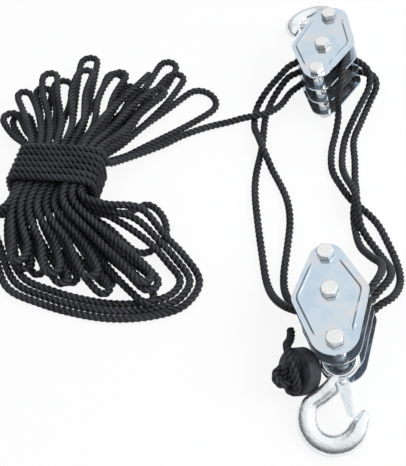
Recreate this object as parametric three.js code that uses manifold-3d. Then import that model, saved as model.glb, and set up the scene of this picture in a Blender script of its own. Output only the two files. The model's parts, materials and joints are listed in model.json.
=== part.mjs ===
// A rope tackle of two three-sheave blocks, laid down on a flat surface, with its rope reeved and hanked.
// Millimetres, +Z up. +Y runs from the lower block towards the upper one, +X to the right of that.
import * as THREE from "three";
import { mergeVertices } from "three/addons/utils/BufferGeometryUtils.js";
import Module from "manifold-3d";

const wasm = await Module();
wasm.setup();

// Clearances
const fit = 0.3;
const running_fit = 0.7;
const overrun = 5;

// Rope
const rope_diameter = 8;
const rope_sides = 8;
const hank_sides = 6;
const turn_step = 22;

// Side plates
const sheave_count = 3;
const plate_thickness = 2;
const bay_gap = 18.6;
const corner_offset = 26.3;
const corner_rise = 3;
const corner_radius = 12;
const hook_end_offset = 46;
const hook_end_radius = 24;
const tail_end_offset = 38;
const tail_end_radius = 18;
const plate_steps = 2;

// Pressed beads of the two outer plates
const bead_inset = 4.5;
const bead_width = 4.8;
const bead_height = 1.1;
const bead_tail_reach = 30;
const bead_hook_reach = 44;

// Bolts, nuts and spacer tubes
const bolt_diameter = 10;
const bolt_sides = 12;
const bolt_chamfer = 1;
const head_across_flats = 16;
const head_height = 6.4;
const head_chamfer = 0.8;
const nut_height = 7;
const thread_past_nut = 2.1;
const hook_bolt_offset = 54;
const tail_bolt_offset = 44;
const spacer_diameter = 13.5;

// Sheaves
const sheave_diameter = 62;
const sheave_side_gap = 0.35;
const flange_width = 1.9;
const groove_floor_diameter = 42;
const groove_floor_width = 7;
const sheave_sides = 20;

// Hook: an eye, a neck, a round bowl and a point. It lies in its own XY plane with the bolt's axis at the
// origin.
const eye_inner_diameter = 25.6;
const eye_width = 6.5;
const eye_thickness = 8.4;
const eye_sides = 18;
const eye_lead = 4.7;
const hook_sides = 8;
const hook_raise = 0.8;
const bowl_reach = 61;
const bowl_offset = 4;
const bowl_radius = 25.3;
const bowl_width = 20;
const bowl_thickness = 14.5;
const neck_thickness = 10.2;

// Safety latch, its pin and its spring
const latch_pivot_offset = 4.6;
const latch_pivot_reach = 27;
const latch_end_side = 16.6;
const latch_end_short = 4.4;
const latch_end_radius = 2.3;
const latch_ear_radius = 6.2;
const latch_sheet = 1.2;
const latch_web_trim = 2.5;
const latch_inner_width = 11.2;
const latch_pin_diameter = 4;
const latch_pin_head = 1;
const latch_lug_thickness = 3.6;
const latch_lug_radius = 4;
const spring_wire = 1;
const spring_turns = 1.5;
const spring_steps = 8;
const spring_wire_sides = 5;
const spring_radius = 3.4;
const spring_leg = 9;

// Stopper disc on the dead end of the rope, and the knot that holds it
const disc_diameter = 47;
const disc_thickness = 15;
const disc_rounding = 3;
const disc_bore = 9.4;
const disc_sides = 24;
const rounding_steps = 2;
const knot_length = 24;
const knot_diameter = 30;
const knot_sides = 14;

// Where the blocks lie: the axle of each, its heading from +Y, and the swing of its hook
const lower_axle_x = 140.1;
const lower_axle_y = 52.4;
const upper_axle_x = 160.6;
const upper_axle_y = 398.7;
const lower_place = { x: lower_axle_x, y: lower_axle_y, heading: 180.6, low_side: 1, swing: 11 };
const upper_place = { x: upper_axle_x, y: upper_axle_y, heading: -13.3, low_side: -1, swing: 43 };

const radians = THREE.MathUtils.degToRad;
const pitch = bay_gap + plate_thickness;
const stack = sheave_count * pitch + plate_thickness;
const half_width = corner_offset + corner_radius;
const thread_reach = fit + nut_height + thread_past_nut;
const thread_end_radius = bolt_diameter / 2 - bolt_chamfer;
const rope_radius = rope_diameter / 2;
const table_height = rope_radius + fit;
const turn_radius = groove_floor_diameter / 2 + rope_radius + running_fit;

// The latch's closed end lies beside the hook's point, measured back from the bowl's centre.
const latch_end_offset = latch_end_side - bowl_offset;
const latch_end_reach = bowl_reach - latch_end_short;

// Each block rests on its three bolt ends and on one corner of its back plate.
const lean = Math.atan2(thread_reach, half_width - thread_end_radius);
const axle_height = half_width * Math.sin(lean);

// The centre of bay k above the back plate's outer face; bay 0 lies nearest the ground.
const bayHeight = (k) => plate_thickness + bay_gap / 2 + k * pitch;

const finish = {
  zinc: { color: 0xc8d7e4, roughness: 0.35, metalness: 0.9 },
  fastener: { color: 0xd6d4cc, roughness: 0.4, metalness: 0.9 },
  plastic: { color: 0x17191c, roughness: 0.3, metalness: 0 },
  forged: { color: 0xdde2e6, roughness: 0.25, metalness: 1 },
  rubber: { color: 0x3c3c44, roughness: 0.7, metalness: 0 },
  rope: { color: 0x323237, roughness: 0.8, metalness: 0 },
};

// A named mesh of one finish.
function piece(name, geometry, look) {
  const flat = geometry.index ? geometry.toNonIndexed() : geometry;
  flat.computeVertexNormals();
  const mesh = new THREE.Mesh(flat, new THREE.MeshStandardMaterial(finish[look]));
  mesh.name = name;
  return mesh;
}

// A closed geometry as a solid that can be cut and joined, and back again.
function solid(geometry) {
  const bare = new THREE.BufferGeometry();
  bare.setAttribute("position", geometry.getAttribute("position"));
  bare.setIndex(geometry.index);
  const merged = mergeVertices(bare);
  return new wasm.Manifold(
    new wasm.Mesh({
      numProp: 3,
      vertProperties: merged.getAttribute("position").array,
      triVerts: new Uint32Array(merged.index.array),
    }),
  );
}

function geometryOf(made) {
  const mesh = made.getMesh();
  const geometry = new THREE.BufferGeometry();
  geometry.setAttribute("position", new THREE.BufferAttribute(mesh.vertProperties, 3));
  geometry.setIndex(new THREE.BufferAttribute(mesh.triVerts, 1));
  return geometry;
}

// A turned body round the Z axis, from its profile of [radius, height] pairs.
function turned(profile, sides) {
  const points = profile.map(([radius, height]) => new THREE.Vector2(radius, height));
  return new THREE.LatheGeometry(points, sides).rotateX(Math.PI / 2);
}

// A round bar along Z, centred on a place.
function bar(radius, length, sides, x = 0, y = 0, z = 0) {
  const round = new THREE.CylinderGeometry(radius, radius, length, sides);
  return round.rotateX(Math.PI / 2).translate(x, y, z);
}

function box(width, depth, height, x, y, z) {
  return new THREE.BoxGeometry(width, depth, height).translate(x, y, z);
}

// The outline that wraps a ring of circles given counterclockwise: arcs joined by their tangents.
function wrapped(circles) {
  const ways = circles.map((circle, i) => {
    const next = circles[(i + 1) % circles.length];
    const dx = next.x - circle.x;
    const dy = next.y - circle.y;
    return Math.atan2(dy, dx) - Math.acos((circle.r - next.r) / Math.hypot(dx, dy));
  });
  const shape = new THREE.Shape();
  circles.forEach((circle, i) => {
    const before = ways[(i + circles.length - 1) % circles.length];
    shape.absarc(circle.x, circle.y, circle.r, before, ways[i], false);
  });
  return shape;
}

// A sheet of one outline, from its low face up.
function sheetOf(outline, depth, low) {
  const settings = { depth, bevelEnabled: false, curveSegments: plate_steps };
  return solid(new THREE.ExtrudeGeometry(outline, settings).translate(0, 0, low));
}

// A closed skin over rings of points, each ring turning the same way round the line that they follow.
function skin(rings) {
  const sides = rings[0].length;
  const positions = [];
  const index = [];
  rings.flat().forEach((point) => positions.push(point.x, point.y, point.z));
  for (let i = 0; i + 1 < rings.length; i += 1) {
    for (let j = 0; j < sides; j += 1) {
      const a = i * sides + j;
      const b = i * sides + ((j + 1) % sides);
      index.push(a, b, b + sides, a, b + sides, a + sides);
    }
  }
  const last = (rings.length - 1) * sides;
  for (let j = 1; j + 1 < sides; j += 1) {
    index.push(0, j + 1, j);
    index.push(last, last + j, last + j + 1);
  }
  const geometry = new THREE.BufferGeometry();
  geometry.setAttribute("position", new THREE.Float32BufferAttribute(positions, 3));
  geometry.setIndex(index);
  return geometry;
}

// A tube whose rings sit on the given points, carried along without twist. Where it goes on as another
// tube, the next point beyond its end sets how that end is cut, and the end stops short of it by half the
// clearance.
function cordSkin(points, radius, sides, beyond_start = null, beyond_end = null) {
  const rings = [];
  let side = null;
  points.forEach((place, i) => {
    const before = i > 0 ? points[i - 1] : beyond_start;
    const after = i + 1 < points.length ? points[i + 1] : beyond_end;
    const come = new THREE.Vector3().subVectors(place, before || place);
    const go = new THREE.Vector3().subVectors(after || place, place);
    const way = come.normalize().add(go.normalize()).normalize();
    const point = place.clone();
    if (i === 0) point.addScaledVector(way, fit / 2);
    if (i + 1 === points.length) point.addScaledVector(way, -fit / 2);
    if (!side) side = new THREE.Vector3(0, 0, 1).cross(way);
    side.addScaledVector(way, -side.dot(way)).normalize();
    const up = new THREE.Vector3().crossVectors(way, side);
    const ring = [];
    for (let j = 0; j < sides; j += 1) {
      const angle = (2 * Math.PI * (j + 0.5)) / sides;
      const spoke = side.clone().multiplyScalar(Math.cos(angle) * radius);
      ring.push(spoke.addScaledVector(up, Math.sin(angle) * radius).add(point));
    }
    rings.push(ring);
  });
  return skin(rings);
}

// The side plates, cut for the three bolts; an outer one carries a bead along each long side, on its outer
// face.
function plate(outer) {
  const outline = (inset) =>
    wrapped([
      { x: corner_offset, y: corner_rise, r: corner_radius - inset },
      { x: 0, y: hook_end_offset, r: hook_end_radius - inset },
      { x: -corner_offset, y: corner_rise, r: corner_radius - inset },
      { x: 0, y: -tail_end_offset, r: tail_end_radius - inset },
    ]);
  let made = sheetOf(outline(0), plate_thickness, 0);
  if (outer) {
    const depth = plate_thickness / 2 + bead_height;
    const low = outer > 0 ? plate_thickness / 2 : -bead_height;
    const band = sheetOf(outline(bead_inset), depth, low);
    const hollow = sheetOf(outline(bead_inset + bead_width), depth + 2 * overrun, low - overrun);
    const length = bead_tail_reach + bead_hook_reach;
    const middle = (bead_hook_reach - bead_tail_reach) / 2;
    const stretch = solid(box(2 * half_width, length, 2 * stack, 0, middle, 0));
    made = made.add(band.subtract(hollow).intersect(stretch));
  }
  for (const y of [hook_bolt_offset, 0, -tail_bolt_offset]) {
    made = made.subtract(solid(bar(bolt_diameter / 2 + fit, 2 * stack, bolt_sides, 0, y)));
  }
  return geometryOf(made);
}

const hex_sides = 6;
const hex_corner = head_across_flats / 2 / Math.cos(Math.PI / hex_sides);

function bolt() {
  const radius = bolt_diameter / 2;
  const under = stack + fit;
  const top = under + head_height;
  const inside = under + head_height / 2;
  const bevel = hex_corner - head_chamfer;
  const crown = [[hex_corner, top - head_chamfer], [bevel, top], [0, top]];
  const head = turned([[0, under], [hex_corner, under], ...crown], hex_sides);
  const end = [thread_end_radius, -thread_reach];
  const neck = [radius, bolt_chamfer - thread_reach];
  const shank = turned([[0, -thread_reach], end, neck, [radius, inside], [0, inside]], bolt_sides);
  return geometryOf(solid(head).add(solid(shank)));
}

function nut() {
  const hex = solid(bar(hex_corner, nut_height, hex_sides, 0, 0, -fit - nut_height / 2));
  return geometryOf(hex.subtract(solid(bar(bolt_diameter / 2 + fit, 2 * stack, bolt_sides))));
}

// A tube that holds two plates apart.
function spacer() {
  const outer = spacer_diameter / 2;
  const inner = bolt_diameter / 2 + fit;
  const half = bay_gap / 2 - fit;
  return turned([[inner, -half], [outer, -half], [outer, half], [inner, half], [inner, -half]], bolt_sides);
}

function sheave() {
  const bore = bolt_diameter / 2 + fit;
  const rim = sheave_diameter / 2;
  const half = bay_gap / 2 - sheave_side_gap;
  const mouth = half - flange_width;
  const floor = groove_floor_diameter / 2;
  const seat = groove_floor_width / 2;
  const near = [[bore, -half], [rim, -half], [rim, -mouth], [floor, -seat]];
  const far = [[floor, seat], [rim, mouth], [rim, half], [bore, half]];
  return turned([...near, ...far, near[0]], sheave_sides);
}

// One ring of the hook's section: square to the heading, as wide as across and as thick as through.
function hookRing(x, y, heading, across, through) {
  const ring = [];
  const flat = 2 * Math.cos(Math.PI / hook_sides);
  for (let j = 0; j < hook_sides; j += 1) {
    const angle = (2 * Math.PI * (j + 0.5)) / hook_sides;
    const reach = (Math.cos(angle) * across) / flat;
    const rise = (Math.sin(angle) * through) / flat;
    ring.push(new THREE.Vector3(x - reach * Math.sin(heading), y + reach * Math.cos(heading), rise));
  }
  return ring;
}

// The neck: how far along its way from the eye to the bowl, and its section as shares of the bowl's width.
const neck_shares = [
  { x: 0, y: 0, heading: 84, width: 0.7, depth: 0.78 },
  { x: 0.285, y: 0.4, heading: 54, width: 0.84, depth: 1 },
  { x: 0.63, y: 0.71, heading: 46, width: 0.85, depth: 1 },
];
// The bowl: the angle round its centre, and its section there as shares of its full width and thickness.
const bowl_shares = [
  { angle: -28, width: 0.88, depth: 0.8 },
  { angle: -1, width: 0.95, depth: 0.92 },
  { angle: 26, width: 1, depth: 0.98 },
  { angle: 52, width: 1.01, depth: 1 },
  { angle: 78.75, width: 1.02, depth: 1 },
  { angle: 101.25, width: 1.02, depth: 1 },
  { angle: 124, width: 1.02, depth: 1 },
  { angle: 147, width: 0.98, depth: 0.95 },
  { angle: 170, width: 0.86, depth: 0.85 },
];
// The point past the bowl: how far back and up from the bowl's centre, as shares of its radius.
const point_shares = [
  { back: 1.14, up: 0.16, heading: 255, width: 0.58, depth: 0.64 },
  { back: 1.19, up: 0.38, heading: 262, width: 0.2, depth: 0.34 },
];

function hookRings() {
  const neck_y = eye_lead + (eye_inner_diameter + eye_width) / 2;
  const bowlPlace = (angle) => [
    bowl_offset + bowl_radius * Math.cos(radians(angle)),
    bowl_reach + bowl_radius * Math.sin(radians(angle)),
  ];
  const [run_x, bowl_y] = bowlPlace(bowl_shares[0].angle);
  const neck = neck_shares.map((s) => {
    const y = neck_y + (bowl_y - neck_y) * s.y;
    return hookRing(run_x * s.x, y, radians(s.heading), bowl_width * s.width, neck_thickness * s.depth);
  });
  const bowl = bowl_shares.map((s) => {
    const [x, y] = bowlPlace(s.angle);
    return hookRing(x, y, radians(s.angle + 90), bowl_width * s.width, bowl_thickness * s.depth);
  });
  const point = point_shares.map((s) => {
    const x = bowl_offset - bowl_radius * s.back;
    const y = bowl_reach - bowl_radius * s.up;
    return hookRing(x, y, radians(s.heading), bowl_width * s.width, bowl_thickness * s.depth);
  });
  return [...neck, ...bowl, ...point];
}

function hook() {
  const eye_radius = (eye_inner_diameter + eye_width) / 2;
  const eye = new THREE.TorusGeometry(eye_radius, eye_width / 2, hook_sides, eye_sides);
  eye.scale(1, 1, eye_thickness / eye_width).translate(0, eye_lead, 0);
  const at = [-latch_pivot_offset, latch_pivot_reach];
  const lug = bar(latch_lug_radius, latch_lug_thickness, bolt_sides, ...at);
  const bore = bar(latch_pin_diameter / 2 + fit, 2 * neck_thickness, bolt_sides, ...at);
  const pocket_radius = spring_radius + spring_wire / 2 + fit;
  const pocket_z = (latch_lug_thickness + neck_thickness) / 2;
  let made = solid(skin(hookRings())).add(solid(eye));
  for (const side of [-1, 1]) {
    made = made.subtract(solid(bar(pocket_radius, neck_thickness, bolt_sides, ...at, side * pocket_z)));
  }
  return geometryOf(made.add(solid(lug)).subtract(solid(bore)));
}

// The latch is a folded channel: two ears on the pin and a web along the hook's mouth.
function latch() {
  const x = -latch_pivot_offset;
  const y = latch_pivot_reach;
  const outline = wrapped([
    { x, y, r: latch_ear_radius },
    { x: -latch_end_offset, y: latch_end_reach, r: latch_end_radius },
  ]);
  const width = latch_inner_width + 2 * latch_sheet;
  const blank = sheetOf(outline, width, -width / 2);
  const inside = sheetOf(outline, latch_inner_width, -latch_inner_width / 2).translate([latch_sheet, 0, 0]);
  const low = y - latch_web_trim - latch_ear_radius;
  const trim = solid(box(4 * latch_ear_radius, 2 * latch_ear_radius, latch_inner_width, x, low, 0));
  const bore = solid(bar(latch_pin_diameter / 2 + fit, 2 * width, bolt_sides, x, y));
  return geometryOf(blank.subtract(inside).subtract(trim).subtract(bore));
}

function latchPin() {
  const radius = latch_pin_diameter / 2;
  const head = radius + latch_pin_head;
  const inner = latch_inner_width / 2 + latch_sheet + fit;
  const outer = inner + latch_pin_head;
  const low = [[0, -outer], [head, -outer], [head, -inner], [radius, -inner]];
  const high = [[radius, inner], [head, inner], [head, outer], [0, outer]];
  return turned([...low, ...high], bolt_sides).translate(-latch_pivot_offset, latch_pivot_reach, 0);
}

// A torsion spring round the pin: one leg across the neck, the coil, and one leg up the latch's web.
function latchSpring() {
  const x = -latch_pivot_offset;
  const y = latch_pivot_reach;
  const low = latch_lug_thickness / 2 + spring_wire / 2 + fit;
  const high = latch_inner_width / 2 - spring_wire / 2 - fit;
  const steps = spring_steps * spring_turns;
  const points = [];
  for (let i = 0; i <= steps; i += 1) {
    const angle = (-2 * Math.PI * i) / spring_steps;
    const rise = low + ((high - low) * i) / steps;
    const out = spring_radius * Math.cos(angle);
    points.push(new THREE.Vector3(x + out, y + spring_radius * Math.sin(angle), rise));
  }
  points.push(new THREE.Vector3(x - spring_radius, y + spring_leg, high));
  return cordSkin(points, spring_wire / 2, spring_wire_sides);
}

// How far the loose eye lets the hook droop: until its lowest point meets the ground.
const droop_halvings = 40;
function droopOf(place) {
  const swing = -place.low_side * radians(place.swing);
  const corners = hookRings().flat();
  const lowest = (droop) => {
    const turn = new THREE.Euler(-droop, 0, swing, "ZXY");
    const heights = corners.map((corner) => {
      const at = corner.clone().applyEuler(turn);
      const rise = (at.z + bayHeight(1) + hook_raise) * Math.cos(lean);
      return axle_height + rise - place.low_side * at.x * Math.sin(lean);
    });
    return Math.min(...heights);
  };
  let level = 0;
  let steep = Math.PI / 4;
  for (let i = 0; i < droop_halvings; i += 1) {
    const middle = (level + steep) / 2;
    if (lowest(middle) > 0) level = middle;
    else steep = middle;
  }
  return level;
}

// One block: plates, bolts, tubes, sheaves and hook in the block's own frame.
// The axle's axis is Z, the hook lies towards +Y, and the back plate's outer face is at Z = 0.
function block(prefix, place) {
  const group = new THREE.Group();
  const put = (name, geometry, look, y, z) => {
    const mesh = piece(prefix + "_" + name, geometry, look);
    mesh.position.set(0, y, z);
    group.add(mesh);
  };
  for (let i = 0; i <= sheave_count; i += 1) {
    let outer = 0;
    if (i === 0) outer = -1;
    if (i === sheave_count) outer = 1;
    put("side_plate_" + (i + 1), plate(outer), "zinc", 0, i * pitch);
  }
  const bolts = { hook: hook_bolt_offset, axle: 0, tail: -tail_bolt_offset };
  for (const [name, y] of Object.entries(bolts)) {
    put(name + "_bolt", bolt(), "fastener", y, 0);
    put(name + "_nut", nut(), "fastener", y, 0);
  }
  for (let k = 0; k < sheave_count; k += 1) {
    put("sheave_" + (k + 1), sheave(), "plastic", 0, bayHeight(k));
    put("hook_spacer_" + (k + 1), spacer(), "fastener", hook_bolt_offset, bayHeight(k));
    put("tail_spacer_" + (k + 1), spacer(), "fastener", -tail_bolt_offset, bayHeight(k));
  }
  const hanging = new THREE.Group();
  hanging.add(
    piece(prefix + "_hook", hook(), "forged"),
    piece(prefix + "_latch", latch(), "zinc"),
    piece(prefix + "_latch_pin", latchPin(), "fastener"),
    piece(prefix + "_latch_spring", latchSpring(), "fastener"),
  );
  hanging.position.set(0, hook_bolt_offset, bayHeight(1) + hook_raise);
  hanging.rotation.set(-droopOf(place), 0, -place.low_side * radians(place.swing), "ZXY");
  group.add(hanging);
  group.position.set(place.x, place.y, axle_height);
  group.rotation.set(0, place.low_side * lean, radians(place.heading), "ZYX");
  group.updateMatrixWorld(true);
  return group;
}

const tackle = new THREE.Group();
const upper = block("upper", upper_place);
const lower = block("lower", lower_place);
tackle.add(upper, lower);

// The two blocks without their rope settle where the model's origin goes.
const footprint = new THREE.Box3().setFromObject(tackle, true);

// A place on the ground plan as a block sees it: across, along and up its stack.
function seenFrom(group, place) {
  return new THREE.Vector3(...place).applyMatrix4(group.matrixWorld.clone().invert());
}

// The rope round one sheave, clockwise from above: it comes off a place, meets the groove at a tangent, and
// leaves at a tangent for the next place.
function turn(group, bay, before, after) {
  const tangent = (place, side) => {
    const seen = seenFrom(group, place);
    const reach = Math.max(turn_radius, Math.hypot(seen.x, seen.y));
    return Math.atan2(seen.y, seen.x) + side * Math.acos(turn_radius / reach);
  };
  const last = tangent(after, 1);
  let first = tangent(before, -1);
  while (first < last) first += 2 * Math.PI;
  const steps = Math.max(2, Math.round((first - last) / radians(turn_step)));
  const points = [];
  for (let i = 0; i <= steps; i += 1) {
    const angle = first + ((last - first) * i) / steps;
    const at = new THREE.Vector3(Math.cos(angle), Math.sin(angle), 0).multiplyScalar(turn_radius);
    points.push(at.setZ(bayHeight(bay)).applyMatrix4(group.matrixWorld));
  }
  return points;
}

// The free rope's route over the ground, as it lies: the hauling part from the upper block to the hank,
// then the five falls, each from the upper block down to the lower one.
const hauling_route = [
  [124, 396, 13], [110, 383, 12], [96, 360, 12.5], [80, 346, 13.5], [66, 341, 14], [50, 341, 10],
  [33, 339, 5], [5, 330, 5], [-25, 316, 5], [-45, 301, 7], [-70, 284, 11], [-95, 266, 18], [-109, 251, 30],
];
const fall_1 = [
  [197, 402, 28], [213, 397, 26], [216, 386, 20], [208, 369, 12], [194, 339, 5], [182, 309, 4.3],
  [180, 277, 4.3], [177, 245, 4.3], [176, 229, 9], [173.5, 213, 13.6], [170, 198, 9], [170, 180, 4.3],
  [172, 152, 8], [177, 120, 32], [181, 92, 58], [172, 66, 72.5],
];
const fall_2 = [
  [120, 397, 33], [108, 392, 31], [96, 380, 24], [87, 371, 12], [78, 350, 4.3], [71, 298, 4.3],
  [62, 253, 4.3], [60, 227, 4.3], [62, 180, 4.3], [65, 139, 4.3], [68, 104, 7], [73, 76, 22], [83, 52, 42],
  [93, 42, 51],
];
const fall_3 = [
  [189, 400, 48.5], [203, 390, 41.5], [204, 375, 30], [192, 354, 17], [179, 329, 8], [171, 309, 4.3],
  [164, 269, 6], [165, 245, 13], [169, 224, 21], [172, 208, 23.5], [173, 192, 19.5], [174.5, 178, 12],
  [181, 164, 7], [189, 149, 6], [196, 126, 14], [195, 98, 36], [187, 78, 49], [173, 61, 52],
];
const fall_4 = [
  [116, 394, 52], [107, 392, 49], [95, 386, 38], [78, 377, 18], [67, 362, 5], [63, 330, 4.3],
  [66, 312, 10.5], [69, 296, 14], [74, 280, 12], [82, 261, 4.3], [96, 219, 4.3], [98, 188, 4.3],
  [93, 151, 4.3], [87, 114, 6], [86, 88, 14], [90, 68, 25], [100, 53, 33],
];
const fall_5 = [
  [164, 353, 62], [161, 342, 40], [164, 336, 18], [161, 319, 8], [154, 293, 4.3], [152, 261, 4.3],
  [160, 238, 4.3], [168, 221, 4.3], [175, 211, 4.3], [184, 201, 4.3], [196, 183, 4.3], [204, 158, 4.3],
  [210, 131, 6], [209, 101, 14], [196, 74, 26], [176, 58, 30.5],
];
const dead_end = [100.2, -7.6, 19.8];
const dead_end_straight = 10;
const disc_facing = [-0.795, -0.357, 0.49];
const knot_tail = [[79, 3, 38.5], [80.5, 14.5, 33], [84, 24, 22], [87, 37, 13], [87, 46, 9]];

const first = (route) => route[0];
const last = (route) => route[route.length - 1];
const placed = (route) => route.map((place) => new THREE.Vector3(...place));
const upward = (route) => placed(route).reverse();

const dead_lead = placed([dead_end])[0].addScaledVector(placed([disc_facing])[0], -dead_end_straight);
const upper_turn_1 = turn(upper, 0, first(hauling_route), first(fall_1));
const upper_turn_2 = turn(upper, 1, first(fall_2), first(fall_3));
const upper_turn_3 = turn(upper, 2, first(fall_4), first(fall_5));
const lower_turn_1 = turn(lower, 2, last(fall_1), last(fall_2));
const lower_turn_2 = turn(lower, 1, last(fall_3), last(fall_4));
const lower_turn_3 = turn(lower, 0, last(fall_5), dead_lead.toArray());

// The hank: a long coil laid flat, drawn in at a waist that is wrapped with the same rope.
// Its strands are counted from its left edge, and its layers from the ground.
const hank_x = -166;
const hank_y = 235;
const hank_turn = 12;
const hank_strands = 10;
const waist_reach = 31;
const fan_reach = 45;
const wrap_turns = 6;
const wrap_tail_steps = 4;
const wrap_spare = 0.9;
const strand_spare = 0.8;
const layer_spare = 1.4;
const strand_pitch = rope_diameter + strand_spare;
const layer_pitch = rope_diameter + layer_spare;
const spread_share = 0.7;
const bight_steps = 4;

const along = new THREE.Vector3(Math.sin(radians(hank_turn)), Math.cos(radians(hank_turn)), 0);
const across = new THREE.Vector3(along.y, -along.x, 0);
const upright = new THREE.Vector3(0, 0, 1);
const hug = rope_diameter + wrap_spare;
const waist_height = table_height + hug;

// Where each end loop's tip lies and the radius of its turn, from the right edge to the left, layer by
// layer.
const top_tips = [
  [[8, 387, 20], [-35, 443, 11], [-109, 423, 12], [-182, 412, 12], [-222, 350, 11]],
  [[-25, 411, 11], [-83, 390, 10], [-141, 443, 10], [-203, 389, 10], [-240, 345, 9]],
  [[-65, 373, 10], [-102, 407, 9], [-145, 411, 9], [-188, 405, 9], [-219, 372, 9]],
  [[-52, 368, 8]],
];
const low_tips = [
  [[-60, 106, 7], [-101, 103, 7], [-142, 106, 7], [-180, 116, 7]],
  [[-53, 76, 9], [-100, 86, 8], [-145, 98, 8], [-186, 116, 8]],
  [[-47, 85, 9], [-112, 100, 8], [-154, 104, 8], [-195, 119, 8]],
  [[-60, 90, 8]],
];

// A place in the hank's own directions.
function inHank(a, b, z) {
  return new THREE.Vector3(hank_x, hank_y, z).addScaledVector(along, a).addScaledVector(across, b);
}
const acrossOf = (strand) => (strand - (hank_strands - 1) / 2) * strand_pitch;
const heightOf = (layer) => waist_height + layer * layer_pitch;

// How far past the waist each strand runs on before it turns to its tip, so that turning keeps the strands
// apart.
function reaches(end, tips, first_strand, ends) {
  const turns = new Array(hank_strands).fill(0);
  for (const layer of tips) {
    layer.forEach(([x, y], i) => {
      const strand = first_strand - 2 * i;
      const base = inHank(end * waist_reach, acrossOf(strand - 0.5), 0);
      const out = new THREE.Vector3(x, y, 0).sub(base);
      const angle = Math.atan2(out.dot(across), end * out.dot(along));
      for (const one of [strand, strand - 1]) {
        if (Math.abs(angle) > Math.abs(turns[one])) turns[one] = angle;
      }
    });
  }
  for (const [strand, angle] of ends) turns[strand] = radians(angle);
  const found = [0];
  for (let s = 1; s < hank_strands; s += 1) {
    found.push(found[s - 1] - strand_pitch * Math.tan((turns[s] + turns[s - 1]) / 4));
  }
  const least = Math.min(...found);
  return found.map((reach) => end * (reach - least + waist_reach));
}
const top_reaches = reaches(1, top_tips, hank_strands - 1, []);
const low_reaches = reaches(-1, low_tips, hank_strands - 2, [[hank_strands - 1, 72], [0, -5]]);
const strandAt = (strand, layer, a) => inHank(a, acrossOf(strand), heightOf(layer));
const topOf = (strand, layer) => strandAt(strand, layer, top_reaches[strand]);
const footOf = (strand, layer) => strandAt(strand, layer, low_reaches[strand]);

// One end loop, from a strand round to the next one on its left: out to its tip and back.
function bight(strand, layer, end, [tip_x, tip_y, radius]) {
  const from = end > 0 ? topOf(strand, layer) : footOf(strand, layer);
  const to = end > 0 ? topOf(strand - 1, layer) : footOf(strand - 1, layer);
  const base = from.clone().add(to).divideScalar(2).setZ(0);
  const out = new THREE.Vector3(tip_x, tip_y, 0).sub(base);
  const length = out.length();
  out.normalize();
  const side = new THREE.Vector3().crossVectors(out, upright).multiplyScalar(end);
  const height = table_height + layer * layer_pitch;
  const narrow = strand_pitch / 2;
  const spread = narrow + (radius - narrow) * Math.min(1, fan_reach / (spread_share * length));
  const at = (reach, off) => base.clone().addScaledVector(out, reach).addScaledVector(side, off).setZ(height);
  const points = [from, at(fan_reach, spread), at(spread_share * length, radius)];
  for (let i = 0; i <= bight_steps; i += 1) {
    const angle = (Math.PI * i) / bight_steps;
    points.push(at(length - radius * (1 - Math.sin(angle)), radius * Math.cos(angle)));
  }
  points.push(at(spread_share * length, -radius), at(fan_reach, -spread), to);
  return points;
}

// The way from the last strand of a layer round the foot of the hank to the first strand of the next: each
// place's outward shift and climb from one layer to the next come as shares of the pitch of the strands and
// of the layers.
const sweep_route = [
  [-217, 185, 9, 1, 1], [-214, 150, 4.3, 1, 0], [-197, 112, 4.3, 1, 0], [-165, 96, 4.3, 1, 0],
  [-135, 86, 4.3, 1, 0], [-96, 79, 4.3, 1, 0], [-60, 82, 4.3, 1, 0], [-36, 92, 4.3, 1, 0],
  [-25, 108, 4.3, 1, 0], [-34, 126, 10, 1, 0], [-54, 146, 14, 1, 0], [-80, 168, 16, 1, 1],
  [-108, 186, 19, 0, 1],
];
function sweep(layer) {
  return sweep_route.map(([x, y, z, shift_share, climb_share], i) => {
    const [before_x, before_y] = sweep_route[Math.max(i - 1, 0)];
    const [after_x, after_y] = sweep_route[Math.min(i + 1, sweep_route.length - 1)];
    const come = new THREE.Vector3(x - before_x, y - before_y, 0).normalize();
    const go = new THREE.Vector3(after_x - x, after_y - y, 0).normalize();
    const way = come.add(go);
    const off = new THREE.Vector3().crossVectors(way, upright);
    off.setLength((layer * shift_share * (strand_pitch + fit) * 2) / Math.max(1, way.length()));
    return new THREE.Vector3(x, y, z + layer * climb_share * layer_pitch).add(off);
  });
}

const hank_start = [
  [-117, 197, 4.3], [-83, 200, 4.3], [-63, 211, 4.3], [-45, 193, 4.3], [-41, 166, 4.3], [-50, 150, 4.3],
  [-60, 143, 4.3], [-70, 144, 4.3], [-82, 154, 5], [-104, 174, 9],
];
const hank_tail = [[-112, 318, 37], [-92, 358, 32], [-80, 381, 32], [-69, 403, 24]];

const hank = placed(hank_start);
for (let layer = 0; layer < top_tips.length; layer += 1) {
  const lows = low_tips[layer];
  let strand = hank_strands - 1;
  hank.push(footOf(strand, layer));
  top_tips[layer].forEach((tip, i) => {
    hank.push(strandAt(strand, layer, 0), ...bight(strand, layer, 1, tip), strandAt(strand - 1, layer, 0));
    strand -= 2;
    if (i < lows.length) hank.push(...bight(strand + 1, layer, -1, lows[i]));
  });
  if (strand < 0) hank.push(footOf(0, layer), ...sweep(layer));
  else hank.push(strandAt(strand, layer, 0), topOf(strand, layer));
}
hank.push(...placed(hank_tail));

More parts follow.
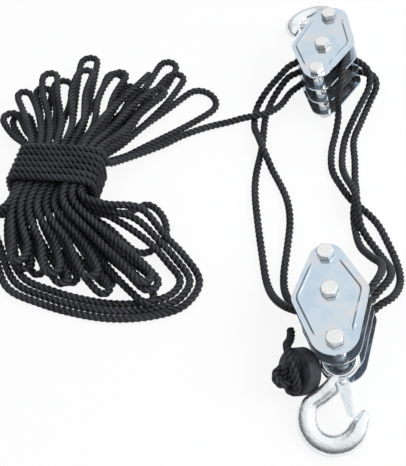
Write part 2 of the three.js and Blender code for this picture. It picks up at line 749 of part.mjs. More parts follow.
// The wraps: a helix that hugs the strands, from the hauling part at the head end to the first loop at the
// foot.
const edge = acrossOf(hank_strands - 1);
const top_layer = top_tips.length - 1;
const wrap_outline = wrapped([
  { x: edge, y: heightOf(top_layer), r: hug },
  { x: edge - 2 * strand_pitch, y: heightOf(top_layer), r: hug },
  { x: -edge, y: heightOf(top_layer - 1), r: hug },
  { x: -edge, y: waist_height, r: hug },
  { x: edge, y: waist_height, r: hug },
]);
const wrap_section = wrap_outline.getPoints(2);
const section_run = [0];
wrap_section.forEach((seen, i) => {
  const next = wrap_section[(i + 1) % wrap_section.length];
  section_run.push(section_run[i] + seen.distanceTo(next));
});
const wraps = placed([last(hauling_route)]);
const wrap_start = (wrap_turns / 2) * strand_pitch;
const wrap_steps = wrap_section.length;
for (let i = 0; i < wrap_turns * wrap_steps - wrap_tail_steps; i += 1) {
  const seen = wrap_section[i % wrap_steps];
  const turns = Math.floor(i / wrap_steps) + section_run[i % wrap_steps] / last(section_run);
  wraps.push(inHank(wrap_start - turns * strand_pitch, seen.x, seen.y));
}
wraps.push(first(hank));

// Every stretch of a tube against every other that isn't beside it along the tube, measured on points.
function leastGap(points, radius) {
  const places = [];
  const spans = [];
  let run = 0;
  points.slice(1).forEach((point, i) => {
    const line = new THREE.Line3(points[i], point);
    const length = line.distance();
    const count = Math.ceil(length / rope_radius);
    for (let j = 0; j < count; j += 1) {
      places.push({ at: line.at(j / count, new THREE.Vector3()), run: run + (length * j) / count });
    }
    spans.push({ line, from: run });
    run += length;
  });
  let least = Infinity;
  const foot = new THREE.Vector3();
  for (const place of places) {
    for (const span of spans) {
      if (place.run < span.from - 3 * rope_diameter) {
        span.line.closestPointToPoint(place.at, true, foot);
        least = Math.min(least, foot.distanceTo(place.at));
      }
    }
  }
  return least - 2 * radius;
}

console.log("least gap of the hank's loops to each other, mm: " + leastGap(hank, rope_radius).toFixed(2));
console.log("least gap of the wraps to each other, mm: " + leastGap(wraps, rope_radius).toFixed(2));

// The whole rope from its free end to its dead end, stretch by stretch.
const run_1 = [...upper_turn_1, ...placed(fall_1), first(lower_turn_1)];
const into_2 = first(lower_turn_2);
const into_3 = first(lower_turn_3);
const run_2 = [last(lower_turn_1), ...upward(fall_2), ...upper_turn_2, ...placed(fall_3), into_2];
const run_3 = [last(lower_turn_2), ...upward(fall_4), ...upper_turn_3, ...placed(fall_5), into_3];
const stretches = [
  ["rope_hank", [...hank].reverse(), hank_sides],
  ["rope_hank_wraps", [...wraps].reverse(), hank_sides],
  ["rope_hauling_part", [...upward(hauling_route), first(upper_turn_1)], rope_sides],
  ["rope_run_1", run_1, rope_sides],
  ["rope_lower_turn_1", lower_turn_1, rope_sides],
  ["rope_run_2", run_2, rope_sides],
  ["rope_lower_turn_2", lower_turn_2, rope_sides],
  ["rope_run_3", run_3, rope_sides],
  ["rope_lower_turn_3", [...lower_turn_3, dead_lead, ...placed([dead_end])], rope_sides],
];
stretches.forEach(([name, points, sides], i) => {
  const before = i > 0 ? stretches[i - 1][1].at(-2) : null;
  const after = i + 1 < stretches.length ? stretches[i + 1][1][1] : null;
  tackle.add(piece(name, cordSkin(points, rope_radius, sides, before, after), "rope"));
});

// The stopper on the dead end: a thick disc that lodges against the lower block, held by a knot with a
// short tail.
function disc() {
  const half = disc_thickness / 2;
  const rim = disc_diameter / 2;
  const profile = [[disc_bore / 2, -half]];
  for (const side of [-1, 1]) {
    for (let i = 0; i <= rounding_steps; i += 1) {
      const angle = (Math.PI * (side < 0 ? i : rounding_steps - i)) / (2 * rounding_steps);
      const radius = rim - disc_rounding * (1 - Math.sin(angle));
      profile.push([radius, side * (half - disc_rounding * (1 - Math.cos(angle)))]);
    }
  }
  return turned([...profile, [disc_bore / 2, half], profile[0]], disc_sides);
}
const stopper = new THREE.Group();
stopper.position.set(...dead_end);
stopper.quaternion.setFromUnitVectors(upright, placed([disc_facing])[0].normalize());
const stopper_disc = piece("stopper_disc", disc(), "rubber");
stopper_disc.position.z = disc_thickness / 2 + fit;
stopper.add(stopper_disc);
stopper.updateMatrixWorld(true);

// The knot's outline along the rope: two swells with a waist between them, as shares of its radius and half
// length.
const knot_shares = [
  [0, -1], [0.55, -1], [0.86, -0.8], [1, -0.42], [0.88, -0.06], [0.98, 0.3], [0.8, 0.78], [0.4, 1], [0, 1],
];
function knot() {
  const radius = knot_diameter / 2;
  const half = knot_length / 2;
  const middle = disc_thickness + 2 * fit + half;
  const lump = turned(knot_shares.map(([r, z]) => [r * radius, middle + z * half]), knot_sides);
  const core = bar(rope_radius, middle - fit, rope_sides, 0, 0, (middle + fit) / 2);
  const centre = new THREE.Vector3(0, 0, middle).applyMatrix4(stopper.matrixWorld);
  const tail = cordSkin([centre, ...placed(knot_tail)], rope_radius, rope_sides);
  const made = solid(lump).add(solid(core));
  return geometryOf(made.add(solid(tail.applyMatrix4(stopper.matrixWorld.clone().invert()))));
}
stopper.add(piece("stopper_knot", knot(), "rope"));
tackle.add(stopper);

// The model stands on its two blocks, with its origin under the middle of them.
const middle = footprint.getCenter(new THREE.Vector3());
tackle.position.set(-middle.x, -middle.y, -footprint.min.z);

export default tackle;
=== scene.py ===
# A rope tackle of two three-sheave blocks, laid on a pale floor with its rope reeved and hanked.
# Lengths are millimetres until a mesh is made, and metres in Blender.
import json
from math import acos, atan2, ceil, copysign, cos, hypot, pi, radians, sin, tan

import bmesh
import bpy
import numpy as np
from mathutils import Matrix, Vector


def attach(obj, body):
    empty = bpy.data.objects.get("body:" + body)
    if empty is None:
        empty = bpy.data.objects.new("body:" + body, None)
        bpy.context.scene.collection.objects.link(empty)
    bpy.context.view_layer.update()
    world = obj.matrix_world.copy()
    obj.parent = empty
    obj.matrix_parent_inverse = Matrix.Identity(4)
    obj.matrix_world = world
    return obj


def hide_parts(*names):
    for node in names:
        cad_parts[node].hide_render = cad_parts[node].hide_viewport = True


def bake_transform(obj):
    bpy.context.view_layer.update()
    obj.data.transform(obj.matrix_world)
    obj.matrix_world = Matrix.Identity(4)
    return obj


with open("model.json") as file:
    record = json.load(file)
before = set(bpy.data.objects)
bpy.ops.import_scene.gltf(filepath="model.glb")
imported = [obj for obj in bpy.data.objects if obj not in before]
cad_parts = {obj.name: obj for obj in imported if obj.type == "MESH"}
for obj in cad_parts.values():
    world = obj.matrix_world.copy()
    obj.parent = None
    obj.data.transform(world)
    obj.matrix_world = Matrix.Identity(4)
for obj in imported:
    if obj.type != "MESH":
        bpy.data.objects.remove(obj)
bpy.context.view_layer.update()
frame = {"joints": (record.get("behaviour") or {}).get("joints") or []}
joints = {joint["name"]: joint for joint in frame["joints"]}
METRES = 0.001

# Camera. It stands in front of the lower block and looks down on the tackle. Its place, tilt and lens were
# fitted to the outlines of the two blocks in the photograph's frame of 406 by 466 pixels.
photo_height_px = 466
focal_length_px = 879.738
sensor_height = 36
camera_place = Vector((-141.95, -630.89, 796.23))
camera_tilt = 36.11

lens = bpy.data.cameras.new("camera")
lens.sensor_fit = "VERTICAL"
lens.sensor_height = sensor_height
lens.lens = sensor_height * focal_length_px / photo_height_px
lens.clip_start = 0.05
camera = bpy.data.objects.new("camera", lens)
camera.location = camera_place * METRES
camera.rotation_euler = (radians(camera_tilt), 0, 0)
bpy.context.scene.collection.objects.link(camera)
bpy.context.scene.camera = camera

# Where the two blocks lie. Each block's own axes come from its joints: Z runs up the stack of sheaves along
# the axle, and Y runs from the axle towards the bolt that the hook hangs on.
plate_thickness = 2
bay_gap = 18.6
sheave_count = 3
pitch = bay_gap + plate_thickness
stack = sheave_count * pitch + plate_thickness
hook_bolt_offset = 54
tail_bolt_offset = 44


def bay_height(bay):
    """The middle of a bay between two plates, above the back plate's outer face."""
    return plate_thickness + bay_gap / 2 + bay * pitch


def block_axes(prefix):
    spin = joints[prefix + "_sheave_1_spin"]
    up = Vector(spin["axis"]).normalized()
    start = Vector(spin["pos_m"]) / METRES - up * bay_height(0)
    out = Vector(joints[prefix + "_hook_swing"]["pos_m"]) / METRES - start
    out = (out - up * out.dot(up)).normalized()
    axes = Matrix((out.cross(up), out, up)).transposed().to_4x4()
    return Matrix.Translation(start) @ axes


blocks = {prefix: block_axes(prefix) for prefix in ("upper", "lower")}

# Rope. It is an 8 mm three-strand rope of black polypropylene filament, laid right-handed. It comes off the
# hank, is wrapped round the hank's waist, and runs five times between the upper block and the lower one; its
# dead end goes through a stopper disc and a knot. The places are measured on the ground from the foot of the
# picture's middle line, and ground_shift carries them to the model's origin.
rope_diameter = 8
rope_radius = rope_diameter / 2
lay_length = 19
ground_shift = Vector((-141.948, -224.05, 0))
groove_floor_diameter = 42
running_fit = 0.7
fit = 0.3
turn_radius = groove_floor_diameter / 2 + rope_radius + running_fit
turn_step = radians(8)

hauling_route = [
    (124, 396, 13), (110, 383, 12), (96, 360, 12.5), (80, 346, 13.5), (66, 341, 14), (50, 341, 10),
    (33, 339, 5), (5, 330, 5), (-25, 316, 5), (-45, 301, 7), (-70, 284, 11), (-95, 266, 18), (-109, 251, 30),
]
fall_1 = [
    (197, 402, 28), (213, 397, 26), (216, 386, 20), (208, 369, 12), (194, 339, 5), (182, 309, 4.3),
    (180, 277, 4.3), (177, 245, 4.3), (176, 229, 9), (173.5, 213, 13.6), (170, 198, 9), (170, 180, 4.3),
    (172, 152, 8), (177, 120, 32), (181, 92, 58), (172, 66, 72.5),
]
fall_2 = [
    (120, 397, 33), (108, 392, 31), (96, 380, 24), (87, 371, 12), (78, 350, 4.3), (71, 298, 4.3),
    (62, 253, 4.3), (60, 227, 4.3), (62, 180, 4.3), (65, 139, 4.3), (68, 104, 7), (73, 76, 22), (83, 52, 42),
    (93, 42, 51),
]
fall_3 = [
    (189, 400, 48.5), (203, 390, 41.5), (204, 375, 30), (192, 354, 17), (179, 329, 8), (171, 309, 4.3),
    (164, 269, 6), (165, 245, 13), (169, 224, 21), (172, 208, 23.5), (173, 192, 19.5), (174.5, 178, 12),
    (181, 164, 7), (189, 149, 6), (196, 126, 14), (195, 98, 36), (187, 78, 49), (173, 61, 52),
]
fall_4 = [
    (116, 394, 52), (107, 392, 49), (95, 386, 38), (78, 377, 18), (67, 362, 5), (63, 330, 4.3),
    (66, 312, 10.5), (69, 296, 14), (74, 280, 12), (82, 261, 4.3), (96, 219, 4.3), (98, 188, 4.3),
    (93, 151, 4.3), (87, 114, 6), (86, 88, 14), (90, 68, 25), (100, 53, 33),
]
fall_5 = [
    (164, 353, 62), (161, 342, 40), (164, 336, 18), (161, 319, 8), (154, 293, 4.3), (152, 261, 4.3),
    (160, 238, 4.3), (168, 221, 4.3), (175, 211, 4.3), (184, 201, 4.3), (196, 183, 4.3), (204, 158, 4.3),
    (210, 131, 6), (209, 101, 14), (196, 74, 26), (176, 58, 30.5),
]
dead_end = (100.2, -7.6, 19.8)
dead_end_straight = 10
disc_facing = Vector((-0.795, -0.357, 0.49)).normalized()
disc_thickness = 15


def placed(route):
    return [Vector(place) + ground_shift for place in route]


def polar(radius, angle, x=0, y=0):
    return x + radius * cos(angle), y + radius * sin(angle)


def groove_turn(prefix, bay, before, after):
    """The rope round one sheave, clockwise from above, met and left at a tangent."""
    to_block = blocks[prefix].inverted()

    def tangent(place, side):
        seen = to_block @ place
        reach = max(turn_radius, hypot(seen.x, seen.y))
        return atan2(seen.y, seen.x) + side * acos(turn_radius / reach)

    last = tangent(after, 1)
    first = tangent(before, -1)
    while first < last:
        first += 2 * pi
    steps = ceil((first - last) / turn_step)
    points = []
    for i in range(steps + 1):
        angle = first + (last - first) * i / steps
        points.append(blocks[prefix] @ Vector((*polar(turn_radius, angle), bay_height(bay))))
    return points


dead_place = placed([dead_end])[0]
dead_lead = dead_place - disc_facing * dead_end_straight
hauling = placed(hauling_route)
falls = [placed(route) for route in (fall_1, fall_2, fall_3, fall_4, fall_5)]
upper_turns = [
    groove_turn("upper", 0, hauling[0], falls[0][0]),
    groove_turn("upper", 1, falls[1][0], falls[2][0]),
    groove_turn("upper", 2, falls[3][0], falls[4][0]),
]
lower_turns = [
    groove_turn("lower", 2, falls[0][-1], falls[1][-1]),
    groove_turn("lower", 1, falls[2][-1], falls[3][-1]),
    groove_turn("lower", 0, falls[4][-1], dead_lead),
]

# Hank. The spare rope is folded to and fro into ten strands and a little over three layers, drawn in at a
# waist, and its own last turns are wrapped round that waist.
hank_middle = Vector((-166, 235, 0)) + ground_shift
hank_turn = radians(12)
hank_strands = 10
waist_reach = 31
fan_reach = 45
strand_pitch = rope_diameter + 0.8
layer_pitch = rope_diameter + 1.4
hug = rope_diameter + 0.9
spread_share = 0.7
table_height = rope_radius + fit
waist_height = table_height + hug
bight_steps = 8
along = Vector((sin(hank_turn), cos(hank_turn), 0))
across = Vector((along.y, -along.x, 0))
upright = Vector((0, 0, 1))

top_tips = [
    [(8, 387, 20), (-35, 443, 11), (-109, 423, 12), (-182, 412, 12), (-222, 350, 11)],
    [(-25, 411, 11), (-83, 390, 10), (-141, 443, 10), (-203, 389, 10), (-240, 345, 9)],
    [(-65, 373, 10), (-102, 407, 9), (-145, 411, 9), (-188, 405, 9), (-219, 372, 9)],
    [(-52, 368, 8)],
]
low_tips = [
    [(-60, 106, 7), (-101, 103, 7), (-142, 106, 7), (-180, 116, 7)],
    [(-53, 76, 9), (-100, 86, 8), (-145, 98, 8), (-186, 116, 8)],
    [(-47, 85, 9), (-112, 100, 8), (-154, 104, 8), (-195, 119, 8)],
    [(-60, 90, 8)],
]


def in_hank(reach, off, height):
    return hank_middle + along * reach + across * off + upright * height


def across_of(strand):
    return (strand - (hank_strands - 1) / 2) * strand_pitch


def height_of(layer):
    return waist_height + layer * layer_pitch


def reaches(end, tips, first_strand, ends):
    """How far past the waist each strand runs on before it turns to its tip."""
    turns = [0.0] * hank_strands
    for layer in tips:
        for i, (x, y, _) in enumerate(layer):
            strand = first_strand - 2 * i
            base = in_hank(end * waist_reach, across_of(strand - 0.5), 0)
            out = Vector((x, y, 0)) + ground_shift - base
            angle = atan2(out.dot(across), end * out.dot(along))
            for one in (strand, strand - 1):
                if abs(angle) > abs(turns[one]):
                    turns[one] = angle
    for strand, angle in ends:
        turns[strand] = radians(angle)
    found = [0.0]
    for strand in range(1, hank_strands):
        found.append(found[-1] - strand_pitch * tan((turns[strand] + turns[strand - 1]) / 4))
    least = min(found)
    return [end * (reach - least + waist_reach) for reach in found]


top_reaches = reaches(1, top_tips, hank_strands - 1, [])
low_reaches = reaches(-1, low_tips, hank_strands - 2, [(hank_strands - 1, 72), (0, -5)])


def strand_at(strand, layer, reach):
    return in_hank(reach, across_of(strand), height_of(layer))


def bight(strand, layer, end, tip):
    """One end loop, from a strand round to the next one on its left: out to its tip and back."""
    ends = top_reaches if end > 0 else low_reaches
    come = strand_at(strand, layer, ends[strand])
    go = strand_at(strand - 1, layer, ends[strand - 1])
    base = (come + go) / 2
    base.z = 0
    out = Vector((tip[0], tip[1], 0)) + ground_shift - base
    length = out.length
    out.normalize()
    side = out.cross(upright) * end
    height = table_height + layer * layer_pitch
    narrow = strand_pitch / 2
    radius = tip[2]
    spread = narrow + (radius - narrow) * min(1, fan_reach / (spread_share * length))

    def at(reach, off):
        return base + out * reach + side * off + upright * height

    points = [come, at(fan_reach, spread), at(spread_share * length, radius)]
    for i in range(bight_steps + 1):
        angle = pi * i / bight_steps
        points.append(at(length - radius * (1 - sin(angle)), radius * cos(angle)))
    return [*points, at(spread_share * length, -radius), at(fan_reach, -spread), go]


# From the last strand of a layer round the foot of the hank to the next layer: each place, then its outward
# shift and its climb per layer as shares of the pitches of the strands and of the layers.
sweep_route = [
    (-217, 185, 9, 1, 1), (-214, 150, 4.3, 1, 0), (-197, 112, 4.3, 1, 0), (-165, 96, 4.3, 1, 0),
    (-135, 86, 4.3, 1, 0), (-96, 79, 4.3, 1, 0), (-60, 82, 4.3, 1, 0), (-36, 92, 4.3, 1, 0),
    (-25, 108, 4.3, 1, 0), (-34, 126, 10, 1, 0), (-54, 146, 14, 1, 0), (-80, 168, 16, 1, 1),
    (-108, 186, 19, 0, 1),
]


def sweep(layer):
    points = []
    for i, (x, y, z, shift_share, climb_share) in enumerate(sweep_route):
        before = sweep_route[max(i - 1, 0)]
        after = sweep_route[min(i + 1, len(sweep_route) - 1)]
        way = Vector((x - before[0], y - before[1], 0)).normalized()
        way += Vector((after[0] - x, after[1] - y, 0)).normalized()
        shift = layer * shift_share * (strand_pitch + fit) * 2 / max(1, way.length)
        off = way.cross(upright).normalized() * shift
        points.append(Vector((x, y, z + layer * climb_share * layer_pitch)) + ground_shift + off)
    return points


hank_start = [
    (-117, 197, 4.3), (-83, 200, 4.3), (-63, 211, 4.3), (-45, 193, 4.3), (-41, 166, 4.3), (-50, 150, 4.3),
    (-60, 143, 4.3), (-70, 144, 4.3), (-82, 154, 5), (-104, 174, 9),
]
hank_tail = [(-112, 318, 37), (-92, 358, 32), (-80, 381, 32), (-69, 403, 24)]

hank = placed(hank_start)
for layer, tips in enumerate(top_tips):
    lows = low_tips[layer]
    strand = hank_strands - 1
    hank.append(strand_at(strand, layer, low_reaches[strand]))
    for i, tip in enumerate(tips):
        hank.append(strand_at(strand, layer, 0))
        hank += bight(strand, layer, 1, tip)
        hank.append(strand_at(strand - 1, layer, 0))
        strand -= 2
        if i < len(lows):
            hank += bight(strand + 1, layer, -1, lows[i])
    if strand < 0:
        hank += [strand_at(0, layer, low_reaches[0]), *sweep(layer)]
    else:
        hank += [strand_at(strand, layer, 0), strand_at(strand, layer, top_reaches[strand])]
hank += placed(hank_tail)

# The strands beside the waist don't run true: each layer wavers a little to its own side.
waver = 4.5
waver_length = 140
waver_phase = 1.9
for i, point in enumerate(hank):
    reach = (point - hank_middle).dot(along)
    loose = min(1, max(0, abs(reach) - waist_reach - rope_diameter) / fan_reach)
    turn = 2 * pi * reach / waver_length + waver_phase * point.z / layer_pitch
    hank[i] = point + across * waver * loose * sin(turn)


def wrapped(circles, step):
    """The outline round circles given counterclockwise: arcs, a step apart, joined by their tangents."""
    ways = []
    for i, (x, y, radius) in enumerate(circles):
        next_x, next_y, next_radius = circles[(i + 1) % len(circles)]
        apart = hypot(next_x - x, next_y - y)
        ways.append(atan2(next_y - y, next_x - x) - acos((radius - next_radius) / apart))
    outline = []
    for i, (x, y, radius) in enumerate(circles):
        start = ways[i - 1]
        sweep_angle = (ways[i] - start) % (2 * pi)
        steps = max(1, ceil(sweep_angle / step))
        for j in range(steps + 1):
            angle = start + sweep_angle * j / steps
            outline.append(polar(radius, angle, x, y))
    return outline


wrap_turns = 6
wrap_left_open = 8
wrap_step = radians(20)
edge = across_of(hank_strands - 1)
top_layer = len(top_tips) - 1
wrap_section = wrapped(
    [
        (edge, height_of(top_layer), hug),
        (edge - 2 * strand_pitch, height_of(top_layer), hug),
        (-edge, height_of(top_layer - 1), hug),
        (-edge, waist_height, hug),
        (edge, waist_height, hug),
    ],
    wrap_step,
)
section_run = [0.0]
for i, (off, height) in enumerate(wrap_section):
    next_off, next_height = wrap_section[(i + 1) % len(wrap_section)]
    section_run.append(section_run[-1] + hypot(next_off - off, next_height - height))
wrap_start = wrap_turns / 2 * strand_pitch
wraps = [hauling[-1]]
for i in range(wrap_turns * len(wrap_section) - wrap_left_open):
    turn, part = divmod(i, len(wrap_section))
    off, height = wrap_section[part]
    reach = wrap_start - (turn + section_run[part] / section_run[-1]) * strand_pitch
    wraps.append(in_hank(reach, off, height))

# Knot. The dead end comes out of the disc and is tied in an overhand knot drawn up against the disc's face.
# It is a trefoil seen from the front, cut open where the rope comes in and where the tail goes out, and the
# tail passes over its upper lobe and lies back beside the block's foot.
knot_half_depth = 10.5
knot_middle_reach = disc_thickness + 2 * fit + knot_half_depth
knot_shift = 3
knot_height_scale = 5.9
knot_width_scale = 4.3
knot_depth_scale = 4.3
knot_in_angle = radians(128)
knot_open_angle = radians(46)
knot_over = [(7, -5, 7.6), (14, -2.5, 7.6), (20, -0.5, 0.5)]
knot_tail = [(82.5, 14.5, 33), (86.5, 24, 22), (89.5, 37, 13), (90, 46, 9)]
knot_steps = 44
knot_rise = Vector((0, 0.808, 0.589))
knot_rise = (knot_rise - disc_facing * knot_rise.dot(disc_facing)).normalized()
knot_side = knot_rise.cross(disc_facing)
knot_left = (disc_facing - knot_side).normalized()
knot_front = (disc_facing + knot_side).normalized()
knot_centre = dead_place + disc_facing * knot_middle_reach - (knot_left + knot_rise) * knot_shift


def in_knot(rise, left, front):
    return knot_centre + knot_rise * rise + knot_left * left + knot_front * front


knot = []
for i in range(knot_steps + 1):
    angle = knot_in_angle + (2 * pi - knot_open_angle) * i / knot_steps
    height = -(sin(angle) + 2 * sin(2 * angle)) * knot_height_scale
    width = -(cos(angle) - 2 * cos(2 * angle)) * knot_width_scale
    knot.append(in_knot(height, width, -sin(3 * angle) * knot_depth_scale))
knot += [in_knot(*point) for point in knot_over]

# The whole rope as one smooth line, from its free end in the hank to the end of the knot's tail. Each piece
# of rope is a stretch of it, so that the strands run on from piece to piece.
rope_line = []


def lay_down(*routes):
    for route in routes:
        for point in route:
            if not rope_line or (point - rope_line[-1]).length > fit:
                rope_line.append(point)


lay_down(hank[::-1], wraps[::-1], hauling[::-1], upper_turns[0][:1])
upper_start = len(rope_line) - 1
lay_down(upper_turns[0][1:], falls[0], lower_turns[0], falls[1][::-1])
lay_down(upper_turns[1], falls[2], lower_turns[1], falls[3][::-1])
lay_down(upper_turns[2], falls[4], lower_turns[2])
lay_down([dead_lead, dead_place, dead_place + disc_facing * disc_thickness], knot, placed(knot_tail))


def smooth_line(points):
    """A centripetal spline through the points, and how far along it each point lies."""
    known = np.array([tuple(p) for p in points])
    known = np.vstack([2 * known[0] - known[1], known, 2 * known[-1] - known[-2]])
    line = [known[1]]
    marks = [0.0]
    run = 0.0
    for i in range(1, len(known) - 2):
        p0, p1, p2, p3 = known[i - 1 : i + 3]
        t1 = np.linalg.norm(p1 - p0) ** 0.5
        t2 = t1 + np.linalg.norm(p2 - p1) ** 0.5
        t3 = t2 + np.linalg.norm(p3 - p2) ** 0.5
        for t in np.linspace(t1, t2, max(3, ceil(np.linalg.norm(p2 - p1))) + 1)[1:]:
            a1 = ((t1 - t) * p0 + t * p1) / t1
            a2 = ((t2 - t) * p1 + (t - t1) * p2) / (t2 - t1)
            a3 = ((t3 - t) * p2 + (t - t2) * p3) / (t3 - t2)
            b1 = ((t2 - t) * a1 + t * a2) / t2
            b2 = ((t3 - t) * a2 + (t - t1) * a3) / (t3 - t1)
            point = ((t2 - t) * b1 + (t - t1) * b2) / (t2 - t1)
            run += np.linalg.norm(point - line[-1])
            line.append(point)
        marks.append(run)
    return np.array(line), marks


rings_per_lay = 11
ring_step = lay_length / rings_per_lay
easing_rings = 2
easing_reach = 3 * easing_rings
line, marks = smooth_line(rope_line)
line_run = np.concatenate([[0], np.cumsum(np.linalg.norm(np.diff(line, axis=0), axis=1))])
ring_run = np.arange(0, line_run[-1], ring_step)
rope_centres = np.stack([np.interp(ring_run, line_run, line[:, k]) for k in range(3)], axis=1)

# The rope's own stiffness eases its corners, and it lies on the ground, not in it.
easing = np.exp(-0.5 * (np.arange(-easing_reach, easing_reach + 1) / easing_rings) ** 2)
easing /= easing.sum()
spread = np.pad(rope_centres, ((easing_reach, easing_reach), (0, 0)), "reflect", reflect_type="odd")
rope_centres = np.stack([np.convolve(spread[:, k], easing, "valid") for k in range(3)], axis=1)
crest_radius = 1.12 * rope_radius
rope_centres[:, 2] = np.maximum(rope_centres[:, 2], crest_radius)
rope_ways = np.gradient(rope_centres, axis=0)
rope_ways /= np.linalg.norm(rope_ways, axis=1)[:, None]
rope_sides = np.zeros_like(rope_ways)
side = np.cross(rope_ways[0], (0, 0, 1))
for i, way in enumerate(rope_ways):
    side = side - way * side.dot(way)
    side /= np.linalg.norm(side)
    rope_sides[i] = side
rope_ups = np.cross(rope_ways, rope_sides)

# The section has three round strands, pressed together: strand_share is a strand's radius and the rest of the
# rope's radius is how far its middle lies out.
strand_share = 0.61
sides_per_strand = 7
column_count = 3 * sides_per_strand
column_angle = np.arange(column_count) * 2 * pi / column_count
from_crest = (column_angle % (2 * pi / 3)) - pi / 3
out_share = 1 - strand_share
section = out_share * np.cos(from_crest) + np.sqrt(strand_share**2 - (out_share * np.sin(from_crest)) ** 2)
# Runs from 0 in a groove to 1 on a crest. The rope's material uses it to paint the grooves darker and the
# crests lighter: painted shade and painted light.
painted_crest_light = (section - section.min()) / (section.max() - section.min())


def linear(text):
    """An sRGB hex colour as linear values for a shader."""
    parts = [int(text[i : i + 2], 16) / 255 for i in (1, 3, 5)]
    return (*[p / 12.92 if p <= 0.04045 else ((p + 0.055) / 1.055) ** 2.4 for p in parts], 1)


def add(tree, kind, inputs=None, **settings):
    """One node with its settings; each input is a value or another node's output."""
    node = tree.nodes.new(kind)
    for key, value in settings.items():
        setattr(node, key, value)
    for socket, value in (inputs or {}).items():
        if isinstance(value, bpy.types.NodeSocket):
            tree.links.new(value, node.inputs[socket])
        else:
            node.inputs[socket].default_value = value
    return node


def new_material(name):
    made = bpy.data.materials.new(name)
    made.use_nodes = True
    made.node_tree.nodes.clear()
    return made, made.node_tree


def own_place(tree):
    return add(tree, "ShaderNodeTexCoord").outputs["Object"]


def noise(tree, place, size, detail, **more):
    """Noise about a size across, in the units of the place."""
    inputs = {"Vector": place, "Scale": 1 / size, "Detail": detail, **more}
    return add(tree, "ShaderNodeTexNoise", inputs).outputs[0]


def ramp(tree, factor, steps):
    """A colour by a factor: each step is its position and its colour, in hex or as linear values."""
    made = add(tree, "ShaderNodeValToRGB", {"Fac": factor})
    stops = made.color_ramp.elements
    while len(stops) < len(steps):
        stops.new(0.5)
    for stop, (position, colour) in zip(stops, steps):
        stop.position = position
        stop.color = linear(colour) if isinstance(colour, str) else colour
    return made.outputs[0]


def dulled(tree, pattern, low, high):
    """A roughness that the middle range of a noise moves between two values."""
    inputs = {"Value": pattern, "From Min": 0.3, "From Max": 0.7, "To Min": low, "To Max": high}
    return add(tree, "ShaderNodeMapRange", inputs).outputs[0]


def bump(tree, height, strength, depth, **more):
    inputs = {"Height": height, "Strength": strength, "Distance": depth, **more}
    return add(tree, "ShaderNodeBump", inputs).outputs[0]


def combined(tree, operation, one, two):
    return add(tree, "ShaderNodeMath", {0: one, 1: two}, operation=operation).outputs[0]


def surfaced(tree, inputs):
    shader = add(tree, "ShaderNodeBsdfPrincipled", inputs)
    add(tree, "ShaderNodeOutputMaterial", {"Surface": shader.outputs[0]})


# Black polypropylene: each strand is twisted the other way from the rope, so its filaments run nearly along
# the rope. They are drawn about 0.9 mm wide, coarser than real, to show. Their waxy gloss is broken by the
# lay. The grooves between the strands are painted darker and the crests lighter: painted shade and light.
filament_width = 0.9
filament_stretch = (1, 1, 0.12)
uneven_length = 45

polypropylene, tree = new_material("black_polypropylene_rope")
fibre = add(tree, "ShaderNodeAttribute", attribute_name="fibre").outputs["Vector"]
# The crest value paints light and shade into the colour: crests lighter, grooves darker, with the filaments'
# streaks between.
depth = add(tree, "ShaderNodeAttribute", attribute_name="painted_crest_light").outputs["Fac"]
stretched = add(tree, "ShaderNodeVectorMath", {0: fibre, 1: filament_stretch}, operation="MULTIPLY")
filaments = noise(tree, stretched.outputs[0], filament_width, 2.0, Roughness=0.6)
lit = combined(tree, "MULTIPLY", depth, filaments)
shade = combined(tree, "ADD", lit, noise(tree, fibre, uneven_length, 1.0))
surfaced(tree, {
    "Base Color": ramp(tree, shade, [(0.5, "#020203"), (1.0, "#3c3c42")]),
    "Roughness": 0.42,
    "IOR": 1.49,
    "Specular IOR Level": 0.25,
    "Sheen Weight": 0.05,
    "Sheen Roughness": 0.4,
    "Normal": bump(tree, filaments, 0.6, 0.00035),
})


def new_piece(name, mesh, material):
    piece = bpy.data.objects.new(name, mesh)
    bpy.context.scene.collection.objects.link(piece)
    mesh.materials.append(material)
    return piece


cut_end_share = 0.75


def rope_mesh(name, first, last):
    """The laid rope from one ring to another, closed at both ends."""
    rings = np.arange(first, last + 1)
    angles = column_angle[None, :] + 2 * pi * (rings[:, None] * ring_step) / lay_length
    radii = np.repeat(section[None, :] * crest_radius, len(rings), axis=0)
    for end, cut in ((0, rings[0] == 0), (-1, rings[-1] == len(rope_centres) - 1)):
        if cut:
            radii[end] *= cut_end_share
    spokes = np.cos(angles)[..., None] * rope_sides[rings][:, None, :]
    spokes = spokes + np.sin(angles)[..., None] * rope_ups[rings][:, None, :]
    places = (rope_centres[rings][:, None, :] + spokes * radii[..., None]).reshape(-1, 3) * METRES
    count = len(rings)
    a = (np.arange(count - 1)[:, None] * column_count + np.arange(column_count)[None, :]).ravel()
    b = (np.arange(count - 1)[:, None] * column_count + (np.arange(column_count) + 1) % column_count).ravel()
    faces = np.stack([a, b, b + column_count, a + column_count], axis=1).tolist()
    faces.append(list(range(column_count))[::-1])
    faces.append(list(range((count - 1) * column_count, count * column_count)))
    mesh = bpy.data.meshes.new(name)
    mesh.from_pydata(places.tolist(), [], faces)
    mesh.polygons.foreach_set("use_smooth", [True] * len(faces))
    along_rope = np.repeat(rings * ring_step, column_count)
    fibres = np.stack(
        [np.cos(angles).ravel() * rope_radius, np.sin(angles).ravel() * rope_radius, along_rope], axis=1
    )
    mesh.attributes.new("fibre", "FLOAT_VECTOR", "POINT").data.foreach_set("vector", fibres.ravel())
    # Each point's place between groove and crest, which the material turns into painted shade and light.
    painted_crest_lights = np.tile(painted_crest_light, count)
    mesh.attributes.new("painted_crest_light", "FLOAT", "POINT").data.foreach_set("value", painted_crest_lights)
    mesh.update()
    return mesh


path_rings = 2


